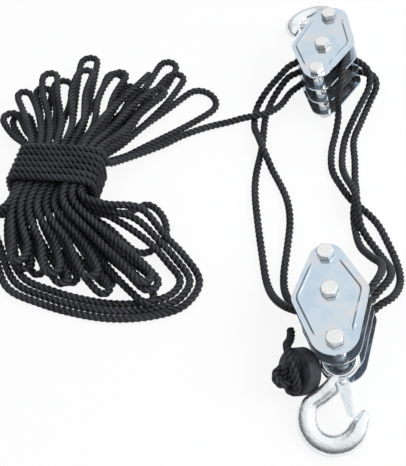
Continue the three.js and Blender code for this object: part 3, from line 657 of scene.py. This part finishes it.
def rope_piece(name, first, last, backwards=False):
    """A stretch of rope between two rings, as a piece of its own."""
    piece = new_piece(name, rope_mesh(name, first, last), polypropylene)
    path = np.vstack([rope_centres[first:last:path_rings], rope_centres[last : last + 1]]) * METRES
    if backwards:
        path = path[::-1]
    return piece


upper_exit = round(marks[upper_start] / ring_step)
hanked = rope_piece("hanked_rope", 0, upper_exit, backwards=True)
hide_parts("rope_hank", "rope_hank_wraps", "rope_hauling_part")
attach(hanked, "upper_block")

reeved = rope_piece("reeved_rope", upper_exit, len(rope_centres) - 1)
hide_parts(*[f"rope_run_{k + 1}" for k in range(sheave_count)])
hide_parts(*[f"rope_lower_turn_{k + 1}" for k in range(sheave_count)], "stopper_knot")
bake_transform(reeved)

# Side plates. Each block has four cheeks of 2 mm steel, blanked to one outline and zinc plated with a pale
# blue passivation; the two outer ones are pressed with a bead along each long side, which stands out.
corner_offset = 26.3
corner_rise = 3
corner_radius = 12
hook_end_offset = 46
hook_end_radius = 24
tail_end_offset = 38
tail_end_radius = 18
outline_step = radians(6)
bolt_hole_radius = 5.3
hole_sides = 40
bead_inset = 4.5
bead_width = 4.8
bead_height = 1.1
bead_tail_reach = 35
bead_hook_reach = 47
bead_run_out = 7
bead_corner_radius = 11
bead_sides = 10
bead_step = 1.5
bead_start_run = 0.6
bead_start_share = 0.6
bead_root = 0.4
sheared_edge = 0.25

# Zinc plate: a thin bright coat on rolled steel. It takes the steel's fine rolling marks, which run up the
# plate, and its passivation film tints it blue, with paler and faintly warm clouds 20 to 30 mm wide.
rolling_marks = (1 / 0.0004, 1 / 0.006, 1 / 0.0004)

zinc, tree = new_material("blue_passivated_zinc_plate")
place = own_place(tree)
clouds = noise(tree, place, 0.026, 2.0, Distortion=0.6)
rolled = add(tree, "ShaderNodeVectorMath", {0: place, 1: rolling_marks}, operation="MULTIPLY")
rolling = noise(tree, rolled.outputs[0], 1, 3.0)
surfaced(tree, {
    "Base Color": ramp(tree, clouds, [(0.34, "#c4d3e0"), (0.5, "#cddae4"), (0.68, "#dbdadd")]),
    "Metallic": 0.9,
    "Roughness": dulled(tree, rolling, 0.07, 0.12),
    "Normal": bump(tree, rolling, 0.05, 0.00004),
})


def plate_outline(inset, rounder=0):
    """The plate's outline, or a line inside it whose side corners may be rounder."""
    return wrapped(
        [
            (corner_offset - rounder, corner_rise, corner_radius - inset + rounder),
            (0, hook_end_offset, hook_end_radius - inset),
            (rounder - corner_offset, corner_rise, corner_radius - inset + rounder),
            (0, -tail_end_offset, tail_end_radius - inset),
        ],
        outline_step,
    )


def add_sheet(form, loops, low, high):
    """A flat sheet with holes: the first loop is its edge, and it lies from one height to another."""
    edges = []
    for loop in loops:
        ring = [form.verts.new((x, y, low)) for x, y in loop]
        edges += [form.edges.new((ring[i - 1], ring[i])) for i in range(len(ring))]
    filled = bmesh.ops.triangle_fill(form, edges=edges, use_beauty=True, normal=(0, 0, 1))
    faces = [f for f in filled["geom"] if isinstance(f, bmesh.types.BMFace)]
    grown = bmesh.ops.extrude_face_region(form, geom=faces)
    raised = [v for v in grown["geom"] if isinstance(v, bmesh.types.BMVert)]
    bmesh.ops.translate(form, verts=raised, vec=(0, 0, high - low))


def add_skin(form, rings, closed=False):
    """A skin over rings of points; it is capped at both ends, or its last ring meets its first."""
    made = [[form.verts.new(point) for point in ring] for ring in rings]
    sides = len(made[0])
    pairs = zip(made, made[1:] + made[:1]) if closed else zip(made, made[1:])
    for one, two in pairs:
        for i in range(sides):
            form.faces.new((one[i - 1], one[i], two[i], two[i - 1]))
    if not closed:
        form.faces.new(made[0][::-1])
        form.faces.new(made[-1])


def round_edges(piece, width, segments, sharp):
    rounding = piece.modifiers.new("edges", "BEVEL")
    rounding.width = width * METRES
    rounding.segments = segments
    rounding.limit_method = "ANGLE"
    rounding.angle_limit = radians(sharp)
    even = piece.modifiers.new("even_faces", "WEIGHTED_NORMAL")
    even.keep_sharp = True


def finished(name, form, placing, material, bevel=0, sharp=40):
    """The form as a piece: placed in the model's frame, its faces outward, smooth but for its sharp edges."""
    bmesh.ops.remove_doubles(form, verts=form.verts[:], dist=1e-4)
    bmesh.ops.recalc_face_normals(form, faces=form.faces[:])
    form.transform(Matrix.Scale(METRES, 4) @ placing)
    mesh = bpy.data.meshes.new(name)
    form.to_mesh(mesh)
    form.free()
    mesh.polygons.foreach_set("use_smooth", [True] * len(mesh.polygons))
    piece = new_piece(name, mesh, material)
    if bevel:
        round_edges(piece, bevel, 2, sharp)
    else:
        mesh.set_sharp_from_angle(angle=radians(sharp))
    return piece


def circle(radius, count, x=0, y=0):
    return [polar(radius, 2 * pi * i / count, x, y) for i in range(count)]


def spaced(line, step):
    """A line of flat points again, with its points a step apart."""
    found = [Vector(line[0])]
    for point in line[1:]:
        gap = Vector(point) - found[-1]
        count = max(1, round(gap.length / step))
        start = found[-1]
        found += [start + gap * (i + 1) / count for i in range(count)]
    return found


def add_bead(form, side, outward):
    """One pressed bead: a smooth ridge that runs out at both ends, its foot sunk in the plate."""
    inset = bead_inset + bead_width / 2
    rounder = bead_corner_radius - (corner_radius - inset)
    middle = spaced(plate_outline(inset, rounder) * 2, bead_step)
    inside = [side * p.x > 0 and -bead_tail_reach < p.y < bead_hook_reach for p in middle]
    start = next(i for i in range(1, len(middle)) if inside[i] and not inside[i - 1])
    end = next(i for i in range(start, len(middle)) if not inside[i])
    run = middle[start:end]
    face = plate_thickness if outward > 0 else 0
    rings = []
    for i, point in enumerate(run):
        before, after = run[max(i - 1, 0)], run[min(i + 1, len(run) - 1)]
        way = (after - before).normalized()
        off = Vector((way.y, -way.x))
        from_end = min(i, len(run) - 1 - i) * bead_step
        swell = sin(pi / 2 * min(1, (from_end + bead_start_run) / bead_run_out))
        width = bead_width * (bead_start_share + (1 - bead_start_share) * swell)
        ring = []
        for j in range(bead_sides + 1):
            share = j / bead_sides
            flat = point + off * (share - 0.5) * width
            rise = bead_height * swell * (1 - cos(2 * pi * share)) / 2
            ring.append((flat.x, flat.y, face + outward * rise))
        sunk = face - outward * bead_root
        ring += [(ring[-1][0], ring[-1][1], sunk), (ring[0][0], ring[0][1], sunk)]
        rings.append(ring)
    add_skin(form, rings)


bolt_offsets = {"hook": hook_bolt_offset, "axle": 0, "tail": -tail_bolt_offset}
for prefix, block in blocks.items():
    for i in range(sheave_count + 1):
        form = bmesh.new()
        holes = [circle(bolt_hole_radius, hole_sides, 0, y)[::-1] for y in bolt_offsets.values()]
        add_sheet(form, [plate_outline(0), *holes], 0, plate_thickness)
        outward = {0: -1, sheave_count: 1}.get(i, 0)
        if outward:
            add_bead(form, 1, outward)
            add_bead(form, -1, outward)
        name = f"{prefix}_side_plate_{i + 1}"
        placing = block @ Matrix.Translation((0, 0, i * pitch))
        cheek = finished("plated_" + name, form, placing, zinc, bevel=sheared_edge, sharp=50)
        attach(cheek, prefix + "_block")
        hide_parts(name)

# Bolts and nuts. Three M10 hexagon bolts hold each block together, bright zinc plated: heads on the front,
# nuts and two turns of thread on the back. A head has a chamfered crown and a washer face.
bolt_diameter = 10
head_across_flats = 16
head_height = 6.4
nut_height = 7
thread_past_nut = 2.1
thread_pitch = 1.5
thread_depth = 0.45
thread_steps = 6
tip_chamfer = 1.1
tip_lead = 0.5
tip_taper = 0.6
chamfer_slope = tan(radians(28))
crown_share = 0.94
washer_share = 0.95
washer_face = 0.4
washer_sunk = 0.2
nut_mouth = 0.7
nut_turn = 0.4
around = 72

# Bright zinc on turned and headed steel: warmer and whiter than the plates, with soft handling marks.
bright_zinc, tree = new_material("bright_zinc_fastener")
handled = noise(tree, own_place(tree), 0.0025, 4.0)
surfaced(tree, {
    "Base Color": ramp(tree, handled, [(0.3, "#e6e6e6"), (0.7, "#f8f7f6")]),
    "Metallic": 0.9,
    "Roughness": dulled(tree, handled, 0.24, 0.4),
    "Normal": bump(tree, handled, 0.1, 0.00008),
})


def hexagon_rings(low, high, chamfer_low, turn):
    """Rings of a hexagonal body whose corners are cut by a cone at the top, and at the bottom if asked."""
    crown = head_across_flats / 2 * crown_share
    turns = [2 * pi * i / around for i in range(around)]
    radii = [head_across_flats / 2 / cos((t % (pi / 3)) - pi / 6) for t in turns]
    drops = [(r - crown) * chamfer_slope for r in radii]

    def ring(radii_here, heights):
        return [(*polar(r, t + turn), z) for r, t, z in zip(radii_here, turns, heights)]

    bottom = [low + (d if chamfer_low else 0) for d in drops]
    return [
        ring([crown] * around, [low] * around),
        ring(radii, bottom),
        ring(radii, [high - d for d in drops]),
        ring([crown] * around, [high] * around),
    ]


def round_ring(radius, z, count=around):
    return [(x, y, z) for x, y in circle(radius, count)]


def turned(profile, count=around, closed=True):
    """A form turned round its axis from radii and heights."""
    form = bmesh.new()
    add_skin(form, [round_ring(r, z, count) for r, z in profile], closed)
    return form


def flipped(profile):
    return [(r, -z) for r, z in profile[::-1]]


def add_bolt(form, turn):
    under = stack + fit
    face = head_across_flats / 2 * washer_share
    add_skin(form, hexagon_rings(under + washer_face, under + head_height, False, turn))
    add_skin(form, [round_ring(face, z) for z in (under, under + washer_face + washer_sunk)])
    tip = -(fit + nut_height + thread_past_nut)
    radius = bolt_diameter / 2
    rings = [round_ring(radius - tip_chamfer, tip)]
    z = tip + tip_lead
    while z < tip + thread_past_nut + 2 * thread_pitch:
        ring = []
        for i in range(around):
            angle = 2 * pi * i / around
            phase = (z / thread_pitch - i / around) % 1
            depth = thread_depth * abs(2 * phase - 1) + tip_taper * max(0, 1 - (z - tip))
            ring.append((*polar(radius - depth, angle), z))
        rings.append(ring)
        z += thread_pitch / thread_steps
    rings += [round_ring(radius, z + fit), round_ring(radius, under + 2 * washer_face)]
    add_skin(form, rings)


def add_nut(form, turn):
    low, high = -fit - nut_height, -fit
    bore = bolt_diameter / 2 + fit
    mouth = bore + nut_mouth
    inner = [(mouth, high), (bore, high - nut_mouth), (bore, low + nut_mouth), (mouth, low)]
    rings = [*hexagon_rings(low, high, True, turn), *[round_ring(r, z) for r, z in inner]]
    add_skin(form, rings, closed=True)


head_turns = {"hook": radians(19), "axle": radians(2), "tail": radians(-12)}
for prefix, block in blocks.items():
    for place_name, y in bolt_offsets.items():
        placing = block @ Matrix.Translation((0, y, 0))
        for kind, add_kind, more in (("bolt", add_bolt, 0), ("nut", add_nut, nut_turn)):
            form = bmesh.new()
            add_kind(form, head_turns[place_name] + more)
            name = f"{prefix}_{place_name}_{kind}"
            fastener = finished("plated_" + name, form, placing, bright_zinc, sharp=28)
            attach(fastener, prefix + "_block")
            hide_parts(name)

# Spacer tubes. Cut lengths of bright steel tube on the hook bolt and the tail bolt keep the plates apart;
# their ends are deburred, and their drawn surface is the brightest metal on the block.
spacer_diameter = 13.5
spacer_rounding = 0.4

drawn_tube, tree = new_material("bright_drawn_steel_tube")
dull = dulled(tree, noise(tree, own_place(tree), 0.0012, 2.0), 0.12, 0.24)
surfaced(tree, {"Base Color": linear("#e3e6e6"), "Metallic": 1.0, "Roughness": dull})

for prefix, block in blocks.items():
    for place_name in ("hook", "tail"):
        for bay in range(sheave_count):
            outer = spacer_diameter / 2
            half = bay_gap / 2 - fit
            bore = bolt_hole_radius
            end = [(bore, -half), (outer - spacer_rounding, -half), (outer, -half + spacer_rounding)]
            placing = block @ Matrix.Translation((0, bolt_offsets[place_name], bay_height(bay)))
            name = f"{prefix}_{place_name}_spacer_{bay + 1}"
            tube = finished("drawn_" + name, turned([*end, *flipped(end)]), placing, drawn_tube, sharp=50)
            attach(tube, prefix + "_block")
            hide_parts(name)

# Sheaves. Three to a block, turned by the rope: glossy black moulded wheels with a round groove for the rope
# between two flanges, which nearly fill the bay, and a boss on the axle.
sheave_radius = 31
sheave_side_gap = 0.35
flange_width = 1.9
groove_round = 4.4
groove_steps = 10
groove_half_angle = radians(62)
flange_lip = 0.6
boss_radius = 11
dish = 0.8
rim_land = 4
rim_step = 1

# Glass-filled nylon, moulded against a polished tool: nearly black, with a cool gloss and faint flow marks.
nylon, tree = new_material("black_moulded_nylon")
dull = dulled(tree, noise(tree, own_place(tree), 0.004, 3.0), 0.16, 0.3)
surfaced(tree, {"Base Color": linear("#0f1518"), "Roughness": dull, "IOR": 1.53})


def sheave_profile():
    half = bay_gap / 2 - sheave_side_gap
    mouth = half - flange_width
    floor_centre = groove_floor_diameter / 2 + groove_round
    groove = []
    for i in range(groove_steps + 1):
        angle = -groove_half_angle + 2 * groove_half_angle * i / groove_steps
        groove.append((floor_centre - groove_round * cos(angle), groove_round * sin(angle)))
    land = sheave_radius - rim_land
    near = [
        (bolt_hole_radius, -half), (boss_radius, -half), (boss_radius + dish, -half + dish),
        (land - rim_step, -half + dish), (land, -half), (sheave_radius - flange_lip, -half),
        (sheave_radius, -half + flange_lip), (sheave_radius, -mouth - flange_lip),
        (sheave_radius - flange_lip, -mouth),
    ]
    return [*near, *groove, *flipped(near)]


for prefix, block in blocks.items():
    for bay in range(sheave_count):
        placing = block @ Matrix.Translation((0, 0, bay_height(bay)))
        name = f"{prefix}_sheave_{bay + 1}"
        wheel = finished("moulded_" + name, turned(sheave_profile()), placing, nylon, sharp=35)
        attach(wheel, name)
        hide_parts(name)

# Hooks. A drop forging in one piece: a loose eye round the middle spacer of the hook bolt, a neck, a round
# bowl and a tapered point. It is barrel polished and plated, so that its edges are soft and its parting line
# shows only as a low ridge round the middle.
eye_inner_diameter = 25.6
eye_width = 6.5
eye_thickness = 8.4
bowl_reach = 61
bowl_offset = 4
bowl_radius = 25.3
bowl_width = 20
bowl_thickness = 14.5
neck_thickness = 10.2
eye_lead = 4.7
hook_round = 44
hook_rings_between = 5
hook_section_power = 0.86
eye_steps = 64
eye_round = 20
forging_grain = 0.5
parting_ridge = 0.2
parting_width = 0.55
trim_step = 0.9
trim_share = 0.22
trim_run_share = 0.12
latch_pivot_offset = 4.6
latch_pivot_reach = 27
latch_lug_thickness = 3.6
spring_radius = 3.4
spring_wire = 1

# Polished plated forging: bright, with shallow waves 3 to 6 mm wide that break up its reflections.
forging, tree = new_material("polished_plated_forging")
place = own_place(tree)
waves = noise(tree, place, 0.005, 2.5)
pits = noise(tree, place, 0.0018, 3.0)
surfaced(tree, {
    "Base Color": linear("#f2f5f7"),
    "Metallic": 1.0,
    "Roughness": dulled(tree, pits, 0.14, 0.3),
    "Normal": bump(tree, pits, 0.5, 0.00025, Normal=bump(tree, waves, 0.45, 0.0008)),
})

# The neck and the point as shares of their way and of the bowl's width and thickness, the bowl by its angle.
neck_shares = [(0, 0, 60, 0.7, 0.78), (0.285, 0.4, 54, 0.84, 1), (0.63, 0.71, 46, 0.85, 1)]
bowl_shares = [
    (-28, 0.88, 0.8), (-1, 0.95, 0.92), (26, 1, 0.98), (52, 1.01, 1), (78.75, 1.02, 1), (101.25, 1.02, 1),
    (124, 1.02, 1), (147, 0.98, 0.95), (170, 0.86, 0.85),
]
point_shares = [(1.14, 0.16, 255, 0.58, 0.64), (1.19, 0.38, 262, 0.2, 0.34)]


def hook_stations():
    """Along the hook from eye to point: place, heading, width across and thickness."""
    neck_y = eye_lead + (eye_inner_diameter + eye_width) / 2
    run_x, bowl_y = polar(bowl_radius, radians(bowl_shares[0][0]), bowl_offset, bowl_reach)
    stations = []
    for x, y, heading, width, depth in neck_shares:
        place_y = neck_y + (bowl_y - neck_y) * y
        stations.append((run_x * x, place_y, heading, bowl_width * width, neck_thickness * depth))
    for angle, width, depth in bowl_shares:
        x, y = polar(bowl_radius, radians(angle), bowl_offset, bowl_reach)
        stations.append((x, y, angle + 90, bowl_width * width, bowl_thickness * depth))
    for back, up, heading, width, depth in point_shares:
        x = bowl_offset - bowl_radius * back
        y = bowl_reach - bowl_radius * up
        stations.append((x, y, heading, bowl_width * width, bowl_thickness * depth))
    return np.array(stations)


def between(rows, count):
    """Rows again with others between them, on a spline through them."""
    ends = np.vstack([2 * rows[0] - rows[1], rows, 2 * rows[-1] - rows[-2]])
    found = []
    for i in range(1, len(ends) - 2):
        p0, p1, p2, p3 = ends[i - 1 : i + 3]
        for j in range(count):
            t = j / count
            found.append(
                0.5 * (2 * p1 + (p2 - p0) * t + (2 * p0 - 5 * p1 + 4 * p2 - p3) * t**2
                       + (3 * p1 - p0 - 3 * p2 + p3) * t**3)
            )
    return [*found, rows[-1]]


def baked(piece):
    """The piece's mesh with its modifiers applied."""
    return bpy.data.meshes.new_from_object(piece.evaluated_get(bpy.context.evaluated_depsgraph_get()))


def forged_hook(name, placing):
    form = bmesh.new()
    rings = []
    for x, y, heading, width, depth in between(hook_stations(), hook_rings_between):
        angle = radians(heading)
        ring = []
        for i in range(hook_round):
            turn = 2 * pi * i / hook_round
            c, s = cos(turn), sin(turn)
            reach = copysign(abs(c) ** hook_section_power, c) * width / 2
            rise = abs(s) ** hook_section_power * depth / 2
            step = trim_step * min(1, max(0, (c - trim_share) / trim_run_share))
            rise = copysign(max(rise - step, rise / 2), s)
            ring.append((x - reach * sin(angle), y + reach * cos(angle), rise))
        rings.append(ring)
    add_skin(form, rings)
    eye_rings = []
    for i in range(eye_steps):
        turn = 2 * pi * i / eye_steps
        ring = []
        for j in range(eye_round):
            roll = 2 * pi * j / eye_round
            reach = (eye_inner_diameter + eye_width) / 2 + eye_width / 2 * cos(roll)
            rise = eye_thickness / 2 * sin(roll)
            ring.append((*polar(reach, turn, 0, eye_lead), rise))
        eye_rings.append(ring)
    add_skin(form, eye_rings, closed=True)
    rough = finished(name + "_rough", form, placing, forging)
    remesh = rough.modifiers.new("forged", "REMESH")
    remesh.mode = "VOXEL"
    remesh.voxel_size = forging_grain * METRES
    soften = rough.modifiers.new("tumbled", "SMOOTH")
    soften.factor = 0.5
    soften.iterations = 4
    mesh = baked(rough)
    bpy.data.objects.remove(rough)
    into_hook = (Matrix.Scale(METRES, 4) @ placing).inverted()
    places, normals = np.empty(len(mesh.vertices) * 3), np.empty(len(mesh.vertices) * 3)
    mesh.vertices.foreach_get("co", places)
    mesh.vertices.foreach_get("normal", normals)
    places, normals = places.reshape(-1, 3), normals.reshape(-1, 3)
    height = places @ np.array(into_hook)[2, :3] + into_hook[2][3]
    upness = np.abs(normals @ np.array(placing)[:3, 2])
    ridge = parting_ridge * np.exp(-((height / parting_width) ** 2)) * np.maximum(0, 1 - 2 * upness)
    places += normals * ridge[:, None] * METRES
    mesh.vertices.foreach_set("co", places.ravel())
    mesh.polygons.foreach_set("use_smooth", [True] * len(mesh.polygons))
    mesh.materials.clear()
    return new_piece(name, mesh, forging)


def hook_axes(prefix):
    """The hook's own axes: X and Y in its plane, with Y from the bolt towards the bowl."""
    swing, opening = joints[prefix + "_hook_swing"], joints[prefix + "_latch_open"]
    start = Vector(swing["pos_m"]) / METRES
    up = -Vector(opening["axis"]).normalized()
    out = (Vector(opening["pos_m"]) / METRES - start).normalized()
    angle = atan2(latch_pivot_reach, -latch_pivot_offset)
    x = out * cos(angle) - up.cross(out) * sin(angle)
    axes = Matrix((x, up.cross(x), up)).transposed().to_4x4()
    return Matrix.Translation(start) @ axes


def carve(piece, tools):
    """Cuts the tools out of the piece and uses them up."""
    for tool in tools:
        cut = piece.modifiers.new("cut", "BOOLEAN")
        cut.operation = "DIFFERENCE"
        cut.solver = "EXACT"
        cut.object = tool
    mesh = baked(piece)
    piece.modifiers.clear()
    piece.data = mesh
    mesh.polygons.foreach_set("use_smooth", [True] * len(mesh.polygons))
    for tool in tools:
        bpy.data.objects.remove(tool)


hooks = {prefix: hook_axes(prefix) for prefix in blocks}
to_pivot = Matrix.Translation((-latch_pivot_offset, latch_pivot_reach, 0))
pin_sides = 40
pocket_radius = spring_radius + spring_wire / 2 + fit
for prefix, placing in hooks.items():
    hook = forged_hook("forged_" + prefix + "_hook", placing)
    pockets = []
    for side in (-1, 1):
        ends = [(pocket_radius, side * latch_lug_thickness / 2), (pocket_radius, side * neck_thickness)]
        pocket = turned(ends, pin_sides, closed=False)
        pockets.append(finished("pocket", pocket, placing @ to_pivot, forging))
    carve(hook, pockets)
    hook.data.set_sharp_from_angle(angle=radians(50))
    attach(hook, prefix + "_hook")
    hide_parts(prefix + "_hook")

# Latches. Each hook's mouth is closed by a latch folded from 1.2 mm zinc-plated sheet: two ears on the pin
# and a web along the mouth, with rounded bends. It opens inwards against its spring. Behind the pin the ears
# are cut off flat twice, so that they clear the cheeks both shut and open.
latch_end_offset = 12.6
latch_end_reach = 56.6
latch_end_radius = 2.3
latch_outline_step = radians(12)
latch_ear_radius = 5.8
latch_sheet = 1.2
latch_web_trim = 2.5
latch_ear_heel = 4.4
latch_opening = radians(38)
latch_bend_radius = 0.35
latch_inner_width = 11.2
latch_pin_diameter = 4
latch_bore_sides = 32
latch_pin_head = 1
pin_head_edge = 0.35
pin_dome_shares = (0.8, 0.35)
pin_dome_drop = 0.15

# The latch's zinc has no blue film: it is white and bright, with rolling marks too fine to see.
latch_zinc, tree = new_material("bright_zinc_sheet")
tint = ramp(tree, noise(tree, own_place(tree), 0.003, 3.0), [(0.3, "#dfe7ec"), (0.7, "#f4f8fa")])
surfaced(tree, {"Base Color": tint, "Metallic": 0.9, "Roughness": 0.18})


def below(y):
    """A square wider than the ears, with its upper side at y."""
    reach = 2 * latch_ear_radius
    return [(-reach, y - reach), (reach, y - reach), (reach, y), (-reach, y)]


for prefix, placing in hooks.items():
    outline = wrapped(
        [
            (-latch_pivot_offset, latch_pivot_reach, latch_ear_radius),
            (-latch_end_offset, latch_end_reach, latch_end_radius),
        ],
        latch_outline_step,
    )
    half = latch_inner_width / 2
    form = bmesh.new()
    add_sheet(form, [outline], -half - latch_sheet, half + latch_sheet)
    latch = finished(prefix + "_latch_sheet", form, placing, latch_zinc)
    pivot = placing @ to_pivot
    tools = []
    for loop, wide, spot in (
        ([(x + latch_sheet, y) for x, y in outline], half, placing),
        (below(-latch_web_trim), half, pivot),
        (below(-latch_ear_heel), 2 * half, pivot),
        (below(-latch_ear_heel), 2 * half, pivot @ Matrix.Rotation(latch_opening, 4, "Z")),
        (circle(latch_pin_diameter / 2 + fit, latch_bore_sides), 2 * half, pivot),
    ):
        form = bmesh.new()
        add_sheet(form, [loop], -wide, wide)
        tools.append(finished("tool", form, spot, latch_zinc))
    carve(latch, tools)
    round_edges(latch, latch_bend_radius, 3, 50)
    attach(latch, prefix + "_latch")
    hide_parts(prefix + "_latch")

    # The pin is a rivet with two low domed heads.
    inner = half + latch_sheet + fit / 2
    outer = inner + latch_pin_head
    radius = latch_pin_diameter / 2
    head = radius + latch_pin_head
    dome = [
        (head, inner), (head, inner + pin_head_edge),
        (head * pin_dome_shares[0], outer - pin_dome_drop), (head * pin_dome_shares[1], outer),
    ]
    rivet = turned([*flipped(dome), (radius, -inner), (radius, inner), *dome], pin_sides, closed=False)
    pin = finished("riveted_" + prefix + "_latch_pin", rivet, pivot, bright_zinc, sharp=60)
    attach(pin, prefix + "_hook")
    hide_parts(prefix + "_latch_pin")

# Latch springs. A torsion spring of 1 mm bright wire is coiled round each pin, beside the neck, with a leg up
# the inside of the latch's web. The leg goes with the latch, so it is a length of wire of its own, whose
# start slides on the coil's last turn.
spring_turns = 1.5
spring_leg = 9
spring_steps = 24
coil_share = 0.93
leg_share = 0.83
leg_ease = 0.02
wire_sides = 12


def add_wire(form, points, radius, sides):
    """A round wire along points, carried along without twist."""
    side = None
    rings = []
    for i, point in enumerate(points):
        way = (points[min(i + 1, len(points) - 1)] - points[max(i - 1, 0)]).normalized()
        side = way.orthogonal() if side is None else side
        side = (side - way * side.dot(way)).normalized()
        up = way.cross(side)
        ring = []
        for j in range(sides):
            angle = 2 * pi * j / sides
            ring.append(point + (side * cos(angle) + up * sin(angle)) * radius)
        rings.append(ring)
    add_skin(form, rings)


def wound(first_share, last_share):
    """The wire round the pin, between two shares of the coil's turns."""
    low = latch_lug_thickness / 2 + spring_wire / 2 + fit
    high = latch_inner_width / 2 - spring_wire / 2 - fit
    steps = ceil(spring_steps * spring_turns * (last_share - first_share))
    points = []
    for i in range(steps + 1):
        share = first_share + (last_share - first_share) * i / steps
        angle = -2 * pi * spring_turns * share
        points.append(Vector((*polar(spring_radius, angle), low + (high - low) * share)))
    return points


for prefix, placing in hooks.items():
    coil = wound(0, coil_share)
    leg = wound(leg_share, 1)
    leg += [leg[-1] + Vector((0, spring_leg / 2, 0)), leg[-1] + Vector((0, spring_leg, 0))]
    for part, points, ease, body in (("coil", coil, 0, "_hook"), ("leg", leg, leg_ease, "_latch")):
        form = bmesh.new()
        add_wire(form, points, spring_wire / 2 - ease, wire_sides)
        name = f"{prefix}_latch_spring_{part}"
        wire = finished(name, form, placing @ to_pivot, drawn_tube, sharp=60)
        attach(wire, prefix + body)
        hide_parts(prefix + "_latch_spring")

# Stopper disc. A thick moulded rubber washer on the dead end, which lodges against the lower block. Its rims
# are rounded, and a shallow step runs round each face.
disc_diameter = 47
disc_rounding = 1.6
disc_bore = 9.4
step_radius = 13
step_depth = 0.8
step_slope = 0.6
rim_steps = 6

# Moulded rubber: dark grey, matt, with a fine eggshell grain of about 0.6 mm and a dusty bloom.
rubber, tree = new_material("moulded_black_rubber")
place = own_place(tree)
surfaced(tree, {
    "Base Color": ramp(tree, noise(tree, place, 0.009, 3.0), [(0.3, "#2c2c33"), (0.75, "#484850")]),
    "Roughness": 0.62,
    "IOR": 1.52,
    "Normal": bump(tree, noise(tree, place, 0.0006, 2.0), 0.4, 0.0001),
})

half = disc_thickness / 2
rim = disc_diameter / 2
low = half - step_depth
face = [(disc_bore / 2, low), (step_radius, low), (step_radius + step_slope, half)]
for i in range(rim_steps + 1):
    angle = pi / 2 * (1 - i / rim_steps)
    face.append((rim - disc_rounding * (1 - cos(angle)), half - disc_rounding * (1 - sin(angle))))
disc_middle = dead_place + disc_facing * (half + fit)
placing = Matrix.Translation(disc_middle) @ upright.rotation_difference(disc_facing).to_matrix().to_4x4()
disc = finished("rubber_stopper_disc", turned([*face, *flipped(face)]), placing, rubber)
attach(disc, "lower_block")
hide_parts("stopper_disc")

# Floor. A plain pale sheet: it takes the tackle's soft shadow, and most of its light to the camera and to the
# metal is its own white, so that it reads as a white ground.
floor_size = 6
own_white_seen = 0.88
own_white_in_gloss = 0.55

paper, tree = new_material("pale_floor")
paint = add(tree, "ShaderNodeBsdfDiffuse", {"Color": linear("#f4f4f4")})
glow = add(tree, "ShaderNodeEmission", {"Color": linear("#ffffff"), "Strength": 1.0})
ray = add(tree, "ShaderNodeLightPath")
seen = combined(tree, "MULTIPLY", ray.outputs["Is Camera Ray"], own_white_seen)
mirrored = combined(tree, "MULTIPLY", ray.outputs["Is Glossy Ray"], own_white_in_gloss)
share = combined(tree, "MAXIMUM", seen, mirrored)
both = add(tree, "ShaderNodeMixShader", {0: share, 1: paint.outputs[0], 2: glow.outputs[0]})
add(tree, "ShaderNodeOutputMaterial", {"Surface": both.outputs[0]})

form = bmesh.new()
bmesh.ops.create_grid(form, x_segments=1, y_segments=1, size=floor_size / 2)
ground = bpy.data.meshes.new("floor")
form.to_mesh(ground)
form.free()
floor = new_piece("floor", ground, paper)

# Light. A soft room that is bright overhead and on the right and dark low down on the left, which draws the
# dark and bright flanks of the metal, and one large soft box on the right.
bright_way = (0.3, 0.3, 0.9)
room_tint = (0.97, 0.99, 1)
room_steps = [(0.0, 0.15), (0.25, 0.33), (0.48, 0.8), (0.65, 1.0), (1.0, 1.05)]

world = bpy.data.worlds.new("studio")
bpy.context.scene.world = world
world.use_nodes = True
tree = world.node_tree
tree.nodes.clear()
way = add(tree, "ShaderNodeTexCoord").outputs["Generated"]
toward = add(tree, "ShaderNodeVectorMath", {0: way, 1: bright_way}, operation="DOT_PRODUCT")
colours = [(position, (*[level * part for part in room_tint], 1)) for position, level in room_steps]
room = ramp(tree, toward.outputs["Value"], colours)
ray = add(tree, "ShaderNodeLightPath").outputs["Is Camera Ray"]
sky = add(tree, "ShaderNodeMix", {"Factor": ray, 6: room, 7: (1, 1, 1, 1)}, data_type="RGBA")
back = add(tree, "ShaderNodeBackground", {"Color": sky.outputs[2], "Strength": 1.0})
add(tree, "ShaderNodeOutputWorld", {"Surface": back.outputs[0]})

light = bpy.data.lights.new("right_softbox", "AREA")
light.energy = 10
light.shape = "SQUARE"
light.size = 0.8
lamp = bpy.data.objects.new("right_softbox", light)
lamp.location = (1.1, -0.35, 1.2)
lamp.rotation_euler = (-lamp.location).to_track_quat("-Z", "Y").to_euler()
bpy.context.scene.collection.objects.link(lamp)
bpy.context.scene.view_settings.view_transform = "Standard"
